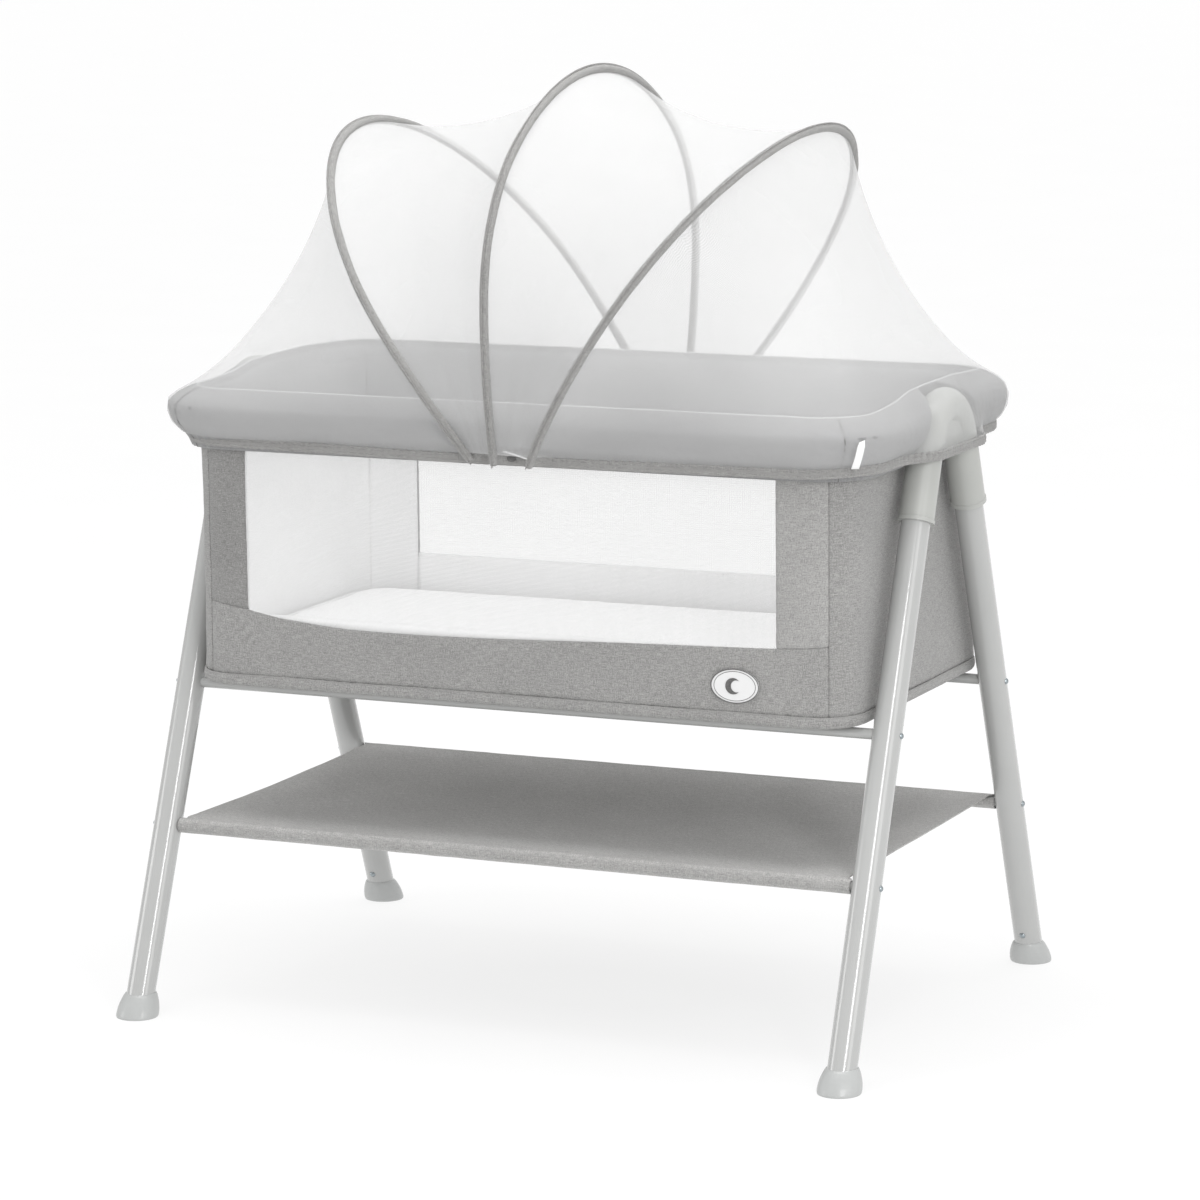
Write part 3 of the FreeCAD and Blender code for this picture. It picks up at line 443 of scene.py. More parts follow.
def legs_and_feet():
    """Round painted tubes on flared plastic shoes with shallow flutes."""
    shoe = ((0.0, 0.0276), (0.0015, 0.0284), (0.005, 0.0286), (0.011, 0.0280), (0.017, 0.0266), (0.023, 0.0244),
            (0.027, 0.0225), (0.0295, 0.0208), (0.0305, 0.0194))
    turn = np.linspace(0, 2 * math.pi, 96, endpoint=False)
    for side, x in (("left", -0.5), ("right", 0.5)):
        for face, sign in (("front", -1), ("rear", 1)):
            height = np.linspace(0.012, 0.765, 60)
            line = np.stack([np.full(60, x), sign * 0.370 * (1 - height / 0.932), height], axis=-1)
            leg = tube(f"leg_tube_{face}_{side}", line, 0.019, leg_paint, sides=96)
            dress(leg, "root", "leg_paint", f"leg_{face}_{side}")
            profile = spaced(np.array(shoe), 26)
            flute = 0.00035 * np.abs(np.cos(turn * 6)) ** 3
            rings = np.zeros((26, 96, 3))
            for i, (z, radius) in enumerate(profile):
                reach = radius - flute * math.sin(min(z / 0.028, 1) * math.pi)
                rings[i] = np.stack([x + reach * np.cos(turn), sign * 0.370 * (1 - z / 0.932) + reach * np.sin(turn),
                                     np.full(96, z)], axis=-1)
            index = np.arange(26 * 96).reshape(26, 96)
            follow = np.roll(index, -1, axis=1)
            quads = np.stack([index[:-1], follow[:-1], follow[1:], index[1:]], axis=-1).reshape(-1, 4).tolist()
            quads.append(index[0].tolist()[::-1])
            quads.append(index[-1].tolist())
            flat = rings.reshape(-1, 3)
            foot = mesh_piece(f"shoe_{face}_{side}", flat, quads, foot_plastic)
            dress(foot, "root", "foot_plastic", f"foot_{face}_{side}")


legs_and_feet()

# ---------------------------------------------------------------- rim roll


def notch(y, z, offset, x):
    """Presses the roll's outer side flat behind a head, with a rounded end that hugs the head on each side."""
    reach = np.sqrt(np.clip(0.0905 ** 2 - np.maximum(z - 0.7547, 0) ** 2, 0.030 ** 2, None))
    away = np.clip((np.abs(y) - reach) / 0.014, 0, 1)
    share = np.sqrt(np.clip(1 - (1 - away) ** 2, 0, 1))
    share = np.where(np.abs(x) > 0.44, share, 1.0)
    return np.where(offset > 0, offset * share + 0.0004 * (1 - share), offset)


def rise(y, z):
    """How far a point of the roll is lifted over the heads, or has settled along the front."""
    front = smooth(-0.15, -0.24, y) * 0.004 * np.exp(-((z - 0.806) / 0.012) ** 2)
    return np.interp(y, *zip(*RIDGE_RISE)) * smooth(0.775, 0.836, z) + front


def rim_roll():
    section = np.array(ROLL)
    fine = spaced(section, 46)
    stations = 900
    total = track(0.0, *RIM)[2]
    s = np.linspace(0, total, stations, endpoint=False)
    point, normal, _ = track(s, *RIM)
    rough_place = np.concatenate([point, np.zeros((stations, 1))], axis=1)
    offsets = np.repeat(fine[None, :, 0], stations, axis=0)
    heights = np.repeat(fine[None, :, 1], stations, axis=0)
    corner = smooth(0.0, 0.05, np.abs(point[:, 0]) - 0.40) * smooth(0.0, 0.05, np.abs(point[:, 1]) - 0.185)
    outer = smooth(0.0, 0.012, offsets)
    wide = lumps(rough_place, 7.0, 1)[:, None]
    small = lumps(np.stack([offsets * 3, heights * 3, np.repeat(s[:, None] * 1.0, 46, axis=1)], -1), 26.0, 2)
    gathers = np.sin(s / 0.0115 * 2 * math.pi + 2.5 * lumps(rough_place, 9.0, 3))
    low = smooth(0.800, 0.765, heights)
    fold = gathers[:, None] * low * (0.25 + 1.1 * corner[:, None]) * 0.0011
    swell = 0.0013 * wide + 0.0007 * small
    for seam_s in (0.452, -0.452, total / 2 - 0.452, total / 2 + 0.452):
        gap = np.abs(np.mod(s - seam_s + total / 2, total) - total / 2)
        swell = swell - 0.0016 * np.exp(-(gap / 0.0028) ** 2)[:, None]
    offsets = offsets + outer * (swell + fold)
    heights = heights + (1 - outer) * 0 + 0.0008 * wide * smooth(0.81, 0.84, heights)
    offsets = notch(point[:, 1][:, None], heights, offsets, point[:, 0][:, None])
    grid = np.zeros((stations, 46, 3))
    grid[..., :2] = point[:, None] + normal[:, None] * offsets[..., None]
    grid[..., 2] = heights + rise(np.repeat(point[:, 1:], 46, axis=1), heights)
    uv = np.stack([np.repeat(s[:, None], 46, axis=1), arc_lengths(fine, 0)[None].repeat(stations, 0)], axis=-1)
    piece = grid_piece("rim_roll", grid, rim_cloth, closed=True, uv=uv, around=True)
    # The roll's inner faces take the lighter copy of the rim cloth: painted light.
    piece.data.materials.append(rim_inner_painted_light)
    inner = (offsets < -0.0115) & (heights > 0.7525)
    face = inner & np.roll(inner, -1, axis=0) & np.roll(inner, -1, axis=1)
    piece.data.polygons.foreach_set("material_index", face.astype(np.int32).ravel())
    return piece


roll = dress(rim_roll(), "root", "rim_fabric", "rim_pad_front", "rim_pad_rear", "rim_pad_left", "rim_pad_right")
HALF_RIM = track(0.0, *RIM)[2] / 2
s = np.linspace(0, track(0.0, *RIM)[2], 700, endpoint=False)
point, normal, _ = track(s, *RIM)
ridge_line = np.concatenate([point - normal * 0.0006, np.full((700, 1), 0.8398)], axis=1)
ridge_line[:, 2] += rise(ridge_line[:, 1], ridge_line[:, 2]) + 0.0005 * lumps(ridge_line, 30.0, 14)
section = spaced(np.array(ROLL), 60)
outside, inside = section[section[:, 0] > 0.001], section[(section[:, 0] < -0.0155) & (section[:, 1] > 0.753)]
for number, (where, path, lift) in enumerate(
        [(w, outside, 0.0002) for w in (0.452, -0.452)] + [(w, outside, 0.0002) for w in (HALF_RIM - 0.452, 0.452 - HALF_RIM)]
        + [(w, inside, -0.0003) for w in (0.462, -0.462, HALF_RIM - 0.462, 0.462 - HALF_RIM)]):
    point, normal, _ = track(np.full(len(path), where), *RIM)
    line = np.concatenate([point + normal * (path[:, :1] + lift), path[:, 1:]], axis=1)
    line[:, 2] += rise(line[:, 1], line[:, 2])
    dress(tube(f"rim_cross_seam_{number}", line, 0.0007, seam_cloth, sides=6), "root", "rim_fabric")
# A thin piping along the ridge, coloured light as a painted highlight on the roll's crest.
dress(tube("rim_ridge_painted_highlight", ridge_line, 0.0014, ridge_highlight_cloth, sides=8, closed=True), "root", "rim_fabric")

# ---------------------------------------------------------------- basket


def wall_patch(name, s0, s1, z0, z1, material, inset=0.0, thickness=0.003, sag=0.0, puckers=0.0008,
               borders=True, step=0.006, shape=None):
    """Part of the basket's wall, with its edges turned in where it is sewn to the next part."""
    columns = max(8, int(abs(s1 - s0) / step))
    rows = max(6, int((z1 - z0) / step))
    s = np.linspace(s0, s1, columns + 1)
    z = np.linspace(z0, z1, rows + 1)
    edge = 0.0016
    if borders:
        s = np.concatenate([[s0], [s0 + edge], s[1:-1], [s1 - edge], [s1]])
        z = np.concatenate([[z0], [z0 + edge], z[1:-1], [z1 - edge], [z1]])
    point, normal, _ = track(s, *BODY)
    S, Z = np.meshgrid(s, z, indexing="ij")
    place = np.stack([S, Z * 1.0, np.zeros_like(S)], axis=-1)
    push = -inset + 0.0012 * lumps(place, 11.0, 5) + 0.0004 * lumps(place, 60.0, 6)
    near_s = np.minimum(S - s0, s1 - S)
    near_z = np.minimum(Z - z0, z1 - Z)
    pucker = np.sin(S / 0.017 * 2 * math.pi + 3 * lumps(place, 14.0, 7)) * np.exp(-near_z / 0.016)
    pucker = pucker + 0.35 * np.sin(Z / 0.021 * 2 * math.pi + 3 * lumps(place, 13.0, 8)) * np.exp(-near_s / 0.014)
    push = push + puckers * pucker
    middle = np.sin(np.clip((S - s0) / (s1 - s0), 0, 1) * math.pi) * np.sin(np.clip((Z - z0) / (z1 - z0), 0, 1) * math.pi)
    push = push - sag * middle
    if borders:
        push = push - 0.0014 * np.exp(-(near_s / 0.0016) ** 2) - 0.0014 * np.exp(-(near_z / 0.0016) ** 2)
    grid = np.zeros((*S.shape, 3))
    grid[..., :2] = point[:, None] + normal[:, None] * push[..., None]
    grid[..., 2] = Z
    if shape is not None:
        grid = shape(grid, S, Z)
    uv = np.stack([S, Z], axis=-1)
    return grid_piece(name, grid, material, thickness=thickness, uv=uv)


HALF_ROUND = track(0.0, *BODY)[2] / 2
corner_angle = math.asin((SEAM_X - (BODY[0] - BODY[2])) / BODY[2])
SEAM_S = BODY[0] - BODY[2] + BODY[2] * corner_angle


SILL_BOW = ((-0.444, 0.0115), (-0.415, 0.0085), (-0.380, 0.0030), (-0.335, -0.0055), (-0.287, -0.0105),
            (-0.240, -0.0140), (-0.195, -0.0150), (-0.120, -0.0148), (-0.040, -0.0134), (0.060, -0.0100),
            (0.158, -0.0063), (0.270, -0.0030), (0.374, 0.0002), (0.444, 0.0050))


def sill(grid, S, Z):
    """Lets the front windows' lower edge and the panel's upper edge follow the slack of the cloth."""
    bow = np.interp(S, *zip(*SILL_BOW))
    share = smooth(BAND_Z, SILL_Z, Z) * (Z <= SILL_Z + 1e-6) + (Z > SILL_Z + 1e-6) * smooth(0.72, SILL_Z, Z)
    grid[..., 2] += bow * share
    return grid


FACES = {"front": (0.0, 1), "rear": (HALF_ROUND, -1)}
soft = {}
for face, (center, sign) in FACES.items():
    low, high = sorted((center - sign * SEAM_S, center + sign * SEAM_S))
    panel = wall_patch(face + "_band", low, high, BAND_Z, SILL_Z, basket_cloth, sag=0.0022,
                       shape=sill if face == "front" else None)
    soft[face + "_panel"] = (panel, (high - low, SILL_Z - BAND_Z))
    low, high = sorted((center + sign * WINDOW_X[0], center + sign * WINDOW_X[1]))
    window = wall_patch(face + "_mesh", low, high, SILL_Z, WALL_TOP_Z, window_mesh if face == "front" else rear_mesh, inset=0.0012, thickness=0,
                        sag=0.004, puckers=0.0004, borders=False, step=0.012, shape=sill if face == "front" else None)
    soft["window_" + face] = (window, (high - low, WALL_TOP_Z - SILL_Z))
    for side, x in (("left", WINDOW_X[0]), ("right", WINDOW_X[1])):
        outer = math.copysign(SEAM_S, x)
        low, high = sorted((center + sign * x, center + sign * outer))
        strip = wall_patch(f"strip_{face}_{side}", low, high, SILL_Z, WALL_TOP_Z, strip_cloths[side], puckers=0.0012,
                           shape=sill if face == "front" else None)
        soft[f"window_side_{face}_{side}"] = (strip, (high - low, WALL_TOP_Z - SILL_Z))
for side, sign in (("left", -1), ("right", 1)):
    low, high = sorted((sign * SEAM_S, sign * (HALF_ROUND - SEAM_S)))
    panel = wall_patch("end_wall_" + side, low, high, BAND_Z, WALL_TOP_Z, basket_cloth, sag=0.003, puckers=0.0009)
    soft["end_panel_" + side] = (panel, (high - low, WALL_TOP_Z - BAND_Z))
for node, (piece, flat) in soft.items():
    slot_name = "white_mesh" if node.startswith("window_f") or node.startswith("window_r") else "heather_fabric"
    dress(piece, "root", slot_name, node)


def basket_floor():
    """The lower hem and the underside, one turned skin."""
    profile = [(0.0, BAND_Z), (0.0008, 0.4475), (0.0010, 0.4440), (0.0004, 0.4405), (-0.0012, 0.4382),
               (-0.0040, BOTTOM_Z + 0.0002), (-0.012, BOTTOM_Z), (-0.045, BOTTOM_Z + 0.0004)]
    total = track(0.0, *BODY)[2]
    s = np.linspace(0, total, 400, endpoint=False)
    point, normal, _ = track(s, *BODY)
    wave = 0.0005 * lumps(np.concatenate([point, point[:, :1] * 0], 1), 40.0, 9)
    vertices = []
    for offset, z in profile:
        ring = np.zeros((400, 3))
        ring[:, :2] = point + normal * (offset + wave * (offset > -0.01))[:, None]
        ring[:, 2] = z
        vertices.append(ring)
    index = np.arange(len(profile) * 400).reshape(len(profile), 400)
    follow = np.roll(index, -1, axis=1)
    quads = np.stack([index[:-1], index[1:], follow[1:], follow[:-1]], axis=-1).reshape(-1, 4).tolist()
    quads.append(index[-1].tolist()[::-1])
    flat = np.concatenate(vertices)
    uv = np.stack([np.tile(s, len(profile)), flat[:, 2]], axis=-1)
    uv[-400:] = flat[-400:, :2]
    piece = mesh_piece("basket_floor", flat, quads, basket_cloth, uv)
    solid = piece.modifiers.new("thickness", "SOLIDIFY")
    solid.thickness = 0.002
    solid.offset = 1
    return piece


dress(basket_floor(), "root", "heather_fabric", "bottom_panel")
s = np.linspace(0, track(0.0, *BODY)[2], 700, endpoint=False)
point, normal, _ = track(s, *BODY)
cord_line = np.concatenate([point + normal * 0.0008, np.full((700, 1), BAND_Z)], axis=1)
cord_line[:, 2] += 0.0007 * lumps(cord_line, 8.0, 11)
turns = np.arange(10)[None] * 2 * math.pi / 10 + (s / 0.0052 * 2 * math.pi)[:, None]
cord_radius = 0.0016 + 0.00015 * np.cos(turns)
dress(tube("piping_cord", cord_line, cord_radius, basket_cloth, sides=10, closed=True), "root", "heather_fabric",
      "bottom_piping")


def lining():
    """White cloth inside the walls, cut away at the windows."""
    inner = (BODY[0] - 0.0045, BODY[1] - 0.0045, BODY[2] - 0.0045)
    half = track(0.0, *inner)[2] / 2
    spans = (("front", WINDOW_X[0], WINDOW_X[1], 0.446, SILL_Z - 0.002),
             ("rear", half - WINDOW_X[1], half - WINDOW_X[0], 0.446, SILL_Z + 0.002),
             ("right", WINDOW_X[1], half - WINDOW_X[1], 0.446, WALL_TOP_Z),
             ("left", -half - WINDOW_X[0], WINDOW_X[0], 0.446, WALL_TOP_Z))
    for name, s0, s1, z0, z1 in spans:
        s = np.linspace(s0, s1, int((s1 - s0) / 0.008) + 2)
        z = np.linspace(z0, z1, int((z1 - z0) / 0.008) + 2)
        point, normal, _ = track(s, *inner)
        S, Z = np.meshgrid(s, z, indexing="ij")
        push = 0.0010 * lumps(np.stack([S, Z, S * 0], -1), 12.0, 12)
        push = push - 0.0030 * np.sin(np.clip((Z - z0) / (z1 - z0), 0, 1) * math.pi)
        grid = np.zeros((*S.shape, 3))
        grid[..., :2] = point[:, None] + normal[:, None] * push[..., None]
        grid[..., 2] = Z
        piece = grid_piece("lining_" + name, grid, lining_cloth, thickness=0.0008, uv=np.stack([S, Z], -1))
        dress(piece, "root", "white_mesh")
    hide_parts("inner_lining")
    for name, x, y in (("front_left", -1, -1), ("front_right", 1, -1), ("rear_left", -1, 1), ("rear_right", 1, 1)):
        corner = np.array((x * (inner[0] - 0.021), y * (inner[1] - 0.021)))
        line = [(corner[0], corner[1], z) for z in np.linspace(0.450, 0.752, 24)]
        dress(tube("lining_seam_" + name, line, 0.0013, lining_cloth, sides=8), "root", "white_mesh")


lining()


def mattress_pad():
    """A flat foam mattress in a sewn cover, swelled between its edges by a cloth simulation."""
    bpy.ops.mesh.primitive_cube_add(size=1)
    pad = bpy.context.object
    pad.name = "mattress_pad"
    pad.dimensions = (0.906, 0.478, 0.041)
    pad.location = (0, 0, 0.4680)
    bpy.ops.object.transform_apply(location=True, rotation=False, scale=True)
    bevel = pad.modifiers.new("corners", "BEVEL")
    bevel.width, bevel.segments, bevel.limit_method = 0.012, 3, "ANGLE"
    rounding = [v for v in pad.data.edges if abs(pad.data.vertices[v.vertices[0]].co.z
                                                  - pad.data.vertices[v.vertices[1]].co.z) > 0.01]
    weights = pad.data.attributes.new("bevel_weight_edge", "FLOAT", "EDGE")
    for edge in rounding:
        weights.data[edge.index].value = 1.0
    first = pad.modifiers.new("upright", "BEVEL")
    first.width, first.segments, first.limit_method = 0.048, 6, "WEIGHT"
    pad.modifiers.move(1, 0)
    remesh = pad.modifiers.new("remesh", "REMESH")
    remesh.mode, remesh.voxel_size = "VOXEL", 0.0085
    graph = bpy.context.evaluated_depsgraph_get()
    mesh = bpy.data.meshes.new_from_object(pad.evaluated_get(graph))
    pad.modifiers.clear()
    pad.data = mesh
    start = np.array([v.co for v in mesh.vertices])
    cloth = pad.modifiers.new("swell", "CLOTH")
    cloth.settings.use_pressure = True
    cloth.settings.uniform_pressure_force = 3.0
    cloth.settings.effector_weights.gravity = 0
    cloth.settings.quality = 4
    cloth.point_cache.frame_start, cloth.point_cache.frame_end = 1, 12
    for number in range(1, 13):
        bpy.context.scene.frame_set(number)
    graph = bpy.context.evaluated_depsgraph_get()
    swelled = bpy.data.meshes.new_from_object(pad.evaluated_get(graph))
    pad.modifiers.clear()
    pad.data = swelled
    now = np.array([v.co for v in swelled.vertices])
    moved = now - start
    far = np.linalg.norm(moved, axis=1)[:, None]
    now = start + moved * np.minimum(1, 0.0045 / np.maximum(far, 1e-9))
    bpy.context.scene.frame_set(1)
    top = smooth(0.47, 0.485, now[:, 2])
    edge = np.minimum(0.455 - np.abs(now[:, 0]), 0.241 - np.abs(now[:, 1]))
    now[:, 2] += top * (0.0022 * smooth(0.0, 0.11, edge) - 0.0030 * np.exp(-np.clip(edge, 0, 1) / 0.012))
    now[:, 2] += top * 0.0008 * lumps(now * (1, 1, 0), 9.0, 13)
    now[:, 2] = np.clip(now[:, 2], 0.4466, 0.4945)
    now[:, 0] = np.clip(now[:, 0], -0.4575, 0.4575)
    now[:, 1] = np.clip(now[:, 1], -0.2435, 0.2435)
    pad.data.vertices.foreach_set("co", now.astype(np.float32).ravel())
    pad.data.polygons.foreach_set("use_smooth", [True] * len(pad.data.polygons))
    pad.data.materials.clear()
    pad.data.materials.append(mattress_cloth)
    pad.modifiers.new("finer", "SUBSURF").levels = 1
    pad.modifiers["finer"].render_levels = 1
    return pad


pad = dress(mattress_pad(), "mattress", "mattress_cover", "mattress")
outline_s = np.linspace(0, track(0.0, 0.4555, 0.2415, 0.047)[2], 420, endpoint=False)
point, normal, _ = track(outline_s, 0.4555, 0.2415, 0.047)
for level, z in (("upper", 0.4835), ("lower", 0.4525)):
    line = np.concatenate([point, np.full((420, 1), z)], axis=1)
    dress(tube("mattress_seam_" + level, line, 0.0017, mattress_cloth, sides=8, closed=True), "mattress",
          "mattress_cover")


# ---------------------------------------------------------------- badge


def badge():
    """An oval woven patch with a stitched edge, an inner line and a crescent moon."""
    center = np.array((0.317, -BODY[1] - 0.0008, 0.485))
    half_x, half_z = 0.033, 0.022
    turn = np.linspace(0, 2 * math.pi, 96, endpoint=False)
    rings = [(1.0, 0.0), (0.985, 0.0010), (0.95, 0.0014), (0.86, 0.0015), (0.6, 0.0017), (0.3, 0.0018)]
    grid = np.array([[center + (half_x * r * math.cos(t), -h, half_z * r * math.sin(t)) for t in turn] for r, h in rings])
    index = np.arange(len(rings) * 96).reshape(len(rings), 96)
    follow = np.roll(index, -1, axis=1)
    quads = np.stack([index[:-1], follow[:-1], follow[1:], index[1:]], axis=-1).reshape(-1, 4).tolist()
    quads.append(index[-1].tolist())
    flat = grid.reshape(-1, 3)
    patch = mesh_piece("badge_patch", flat, quads, badge_cloth, flat[:, [0, 2]])
    dress(patch, "root", "badge_patch", "badge")
    for name, share, radius in (("edge", 0.985, 0.0006), ("line", 0.86, 0.00045)):
        loop = [center + (half_x * share * math.cos(t), -0.0014, half_z * share * math.sin(t)) for t in turn]
        dress(tube("badge_" + name, loop, radius, dark_cloth, sides=6, closed=True), "root", "badge_patch")
    outer = [(-0.002 + 0.0105 * math.cos(a), 0.0105 * math.sin(a)) for a in np.linspace(0.75, 2 * math.pi - 0.75, 40)]
    inner = [(0.0028 + 0.0078 * math.cos(a), 0.0078 * math.sin(a)) for a in np.linspace(2 * math.pi - 1.15, 1.15, 40)]
    moon = [center + (x, -0.0021, z) for x, z in outer + inner]
    quads = [(i, i + 1, 78 - i, 79 - i) for i in range(39)]
    crescent = mesh_piece("badge_moon", moon, quads, dark_cloth, [(p[0], p[2]) for p in moon])
    solid = crescent.modifiers.new("thickness", "SOLIDIFY")
    solid.thickness, solid.offset = 0.0005, 0
    dress(crescent, "root", "badge_patch")


badge()

# ---------------------------------------------------------------- storage shelf


def shelf():
    """A cloth sling simulated between the rods, with a sleeve wrapped round each rod."""
    columns = np.array(sorted({-1.0, -0.9965, -0.979, -0.970, *np.linspace(-0.95, 0.95, 77).tolist(),
                               0.970, 0.979, 0.9965, 1.0}))
    rows = np.linspace(-1, 1, 49)
    half_x, half_y = 0.4735, 0.266
    U, W = np.meshgrid(columns, rows, indexing="ij")
    start = np.stack([U * half_x, W * half_y, np.full_like(U, ROD_Z + 0.0082)], axis=-1)
    sheet = grid_piece("shelf_start", start, shelf_cloth)
    pins = sheet.vertex_groups.new(name="pins")
    held = [i * len(rows) + j for i in range(len(columns)) for j in (0, len(rows) - 1)]
    pins.add(held, 1.0, "ADD")
    cloth = sheet.modifiers.new("sag", "CLOTH")
    cloth.settings.vertex_group_mass = "pins"
    cloth.settings.tension_stiffness = 40
    cloth.settings.compression_stiffness = 30
    cloth.settings.bending_stiffness = 0.6
    cloth.settings.mass = 0.25
    cloth.settings.quality = 6
    cloth.point_cache.frame_start, cloth.point_cache.frame_end = 1, 36
    for number in range(1, 37):
        bpy.context.scene.frame_set(number)
    graph = bpy.context.evaluated_depsgraph_get()
    result = bpy.data.meshes.new_from_object(sheet.evaluated_get(graph))
    now = np.array([v.co for v in result.vertices]).reshape(start.shape)
    bpy.context.scene.frame_set(1)
    drop = start[..., 2] - now[..., 2]
    drop = np.maximum(drop, 0) / max(float(drop.max()), 1e-6)
    pull = (now - start)[..., 0]
    pull = 0.3 * np.clip(pull, -0.008, 0.008)
    bpy.data.objects.remove(sheet)
    curve_in = -np.sign(U) * 0.002 * np.abs(U) ** 3 * (1 - W ** 2)
    drop = drop * (1 - 0.72 * smooth(0.70, 1.0, np.abs(U)))
    cloth_grid = start.copy()
    cloth_grid[..., 0] += pull + curve_in
    place = np.stack([U, W, U * 0], -1)
    cloth_grid[..., 2] -= 0.0095 * drop + 0.0006 * lumps(place, 5.0, 21)
    ripple = np.sin(U * half_x / 0.034 * 2 * math.pi + 4 * lumps(place, 3.0, 22)) * np.exp(-(1 - np.abs(W)) / 0.10)
    cloth_grid[..., 2] += 0.0005 * ripple
    cloth_grid[..., 2] += 0.0008 * smooth(0.948, 0.958, np.abs(U))
    cloth_grid[..., 2] -= 0.0009 * np.exp(-((np.abs(W) - 0.93) / 0.012) ** 2)
    stitched = [(cloth_grid[int(np.argmin(np.abs(columns - u)))], "end", u) for u in (-0.95, 0.95)]
    stitched += [(cloth_grid[:, int(np.argmin(np.abs(rows - w)))], "side", w) for w in (-0.9167, 0.9167)]
    for number, (line, _, _) in enumerate(stitched):
        line = spaced(line, 240) + (0, 0, 0.0004)
        dress(tube(f"shelf_stitches_{number}", line, 0.0006, seam_cloth, sides=6), "root", "shelf_fabric")
    wraps = []
    for sign in (-1, 1):
        angles = np.radians(np.linspace(62, 395, 22))
        wrap = np.zeros((len(columns), 22, 3))
        length = np.where(np.abs(columns) > 0, columns * 0.4805, 0)
        swell = 0.0086 + 0.0004 * lumps(np.stack([columns[:, None] * 6 + np.zeros(22), np.cos(angles)[None] + np.zeros((len(columns), 1)),
                                                  np.sin(angles)[None] + np.zeros((len(columns), 1))], -1), 3.0, 23 + sign)
        blend = smooth(-1, 1, np.cos(angles) * -1)[None]
        wrap[..., 0] = length[:, None] * (0.25 + 0.75 * 1.0) + (columns * (half_x - 0.4805))[:, None] * (
            np.exp(-((np.degrees(angles)[None] - 62) / 18) ** 2))
        wrap[..., 1] = sign * (ROD_Y - swell * np.cos(angles)[None] * 1.0)
        wrap[..., 2] = ROD_Z + swell * np.sin(angles)[None]
        wraps.append(wrap)
    front = wraps[0][:, ::-1]
    full = np.concatenate([front, cloth_grid, wraps[1]], axis=1)
    piece = grid_piece("shelf_sling", full, shelf_cloth, thickness=0.0014, flip=True)
    dress(piece, "root", "shelf_fabric", "storage_shelf")


shelf()

# ---------------------------------------------------------------- net: hem, hoops, panels


def rounded_polygon(points):
    """A closed outline with rounded corners, as a polyline. Each point is (x, y, radius)."""
    line = []
    count = len(points)
    for i, (x, y, radius) in enumerate(points):
        here = np.array((x, y))
        before = np.array(points[i - 1][:2]) - here
        after = np.array(points[(i + 1) % count][:2]) - here
        before, after = before / np.linalg.norm(before), after / np.linalg.norm(after)
        half = math.acos(np.clip(before @ after, -1, 1)) / 2
        bisector = (before + after) / np.linalg.norm(before + after)
        middle = here + bisector * radius / math.sin(half)
        start, end = here + before * radius / math.tan(half), here + after * radius / math.tan(half)
        a0, a1 = start - middle, end - middle
        for t in np.linspace(0, 1, 24):
            mix = a0 * (1 - t) + a1 * t
            line.append(middle + mix / np.linalg.norm(mix) * radius)
    return np.array(line)


def hem_outline():
    quarter = list(HEM_PLAN)
    points = [(x, -y, r) for x, y, r in quarter]
    points += [(x, y, r) for x, y, r in quarter[::-1]]
    points += [(-x, y, r) for x, y, r in quarter]
    points += [(-x, -y, r) for x, y, r in quarter[::-1]]
    line = rounded_polygon(points)
    tuck = smooth(-0.20, -0.42, line[:, 0]) * smooth(0.12, 0.20, np.abs(line[:, 1]))
    line = line - 0.009 * tuck[:, None] * np.sign(line)
    line = spaced(line, 1400, closed=True)
    first = int(np.argmin(np.abs(line[:, 0]) + (line[:, 1] > 0) * 10))
    return np.roll(line, -first, axis=0)


HEM = hem_outline()
HEM_LENGTH = float(np.linalg.norm(np.roll(HEM, -1, axis=0) - HEM, axis=1).sum())


def hem_at(distance):
    """The point on the hem at that distance from the front middle, towards +X."""
    where = np.mod(np.asarray(distance, float) / HEM_LENGTH, 1.0) * len(HEM)
    low = np.floor(where).astype(int) % len(HEM)
    share = (where - np.floor(where))[..., None]
    return HEM[low] * (1 - share) + HEM[(low + 1) % len(HEM)] * share


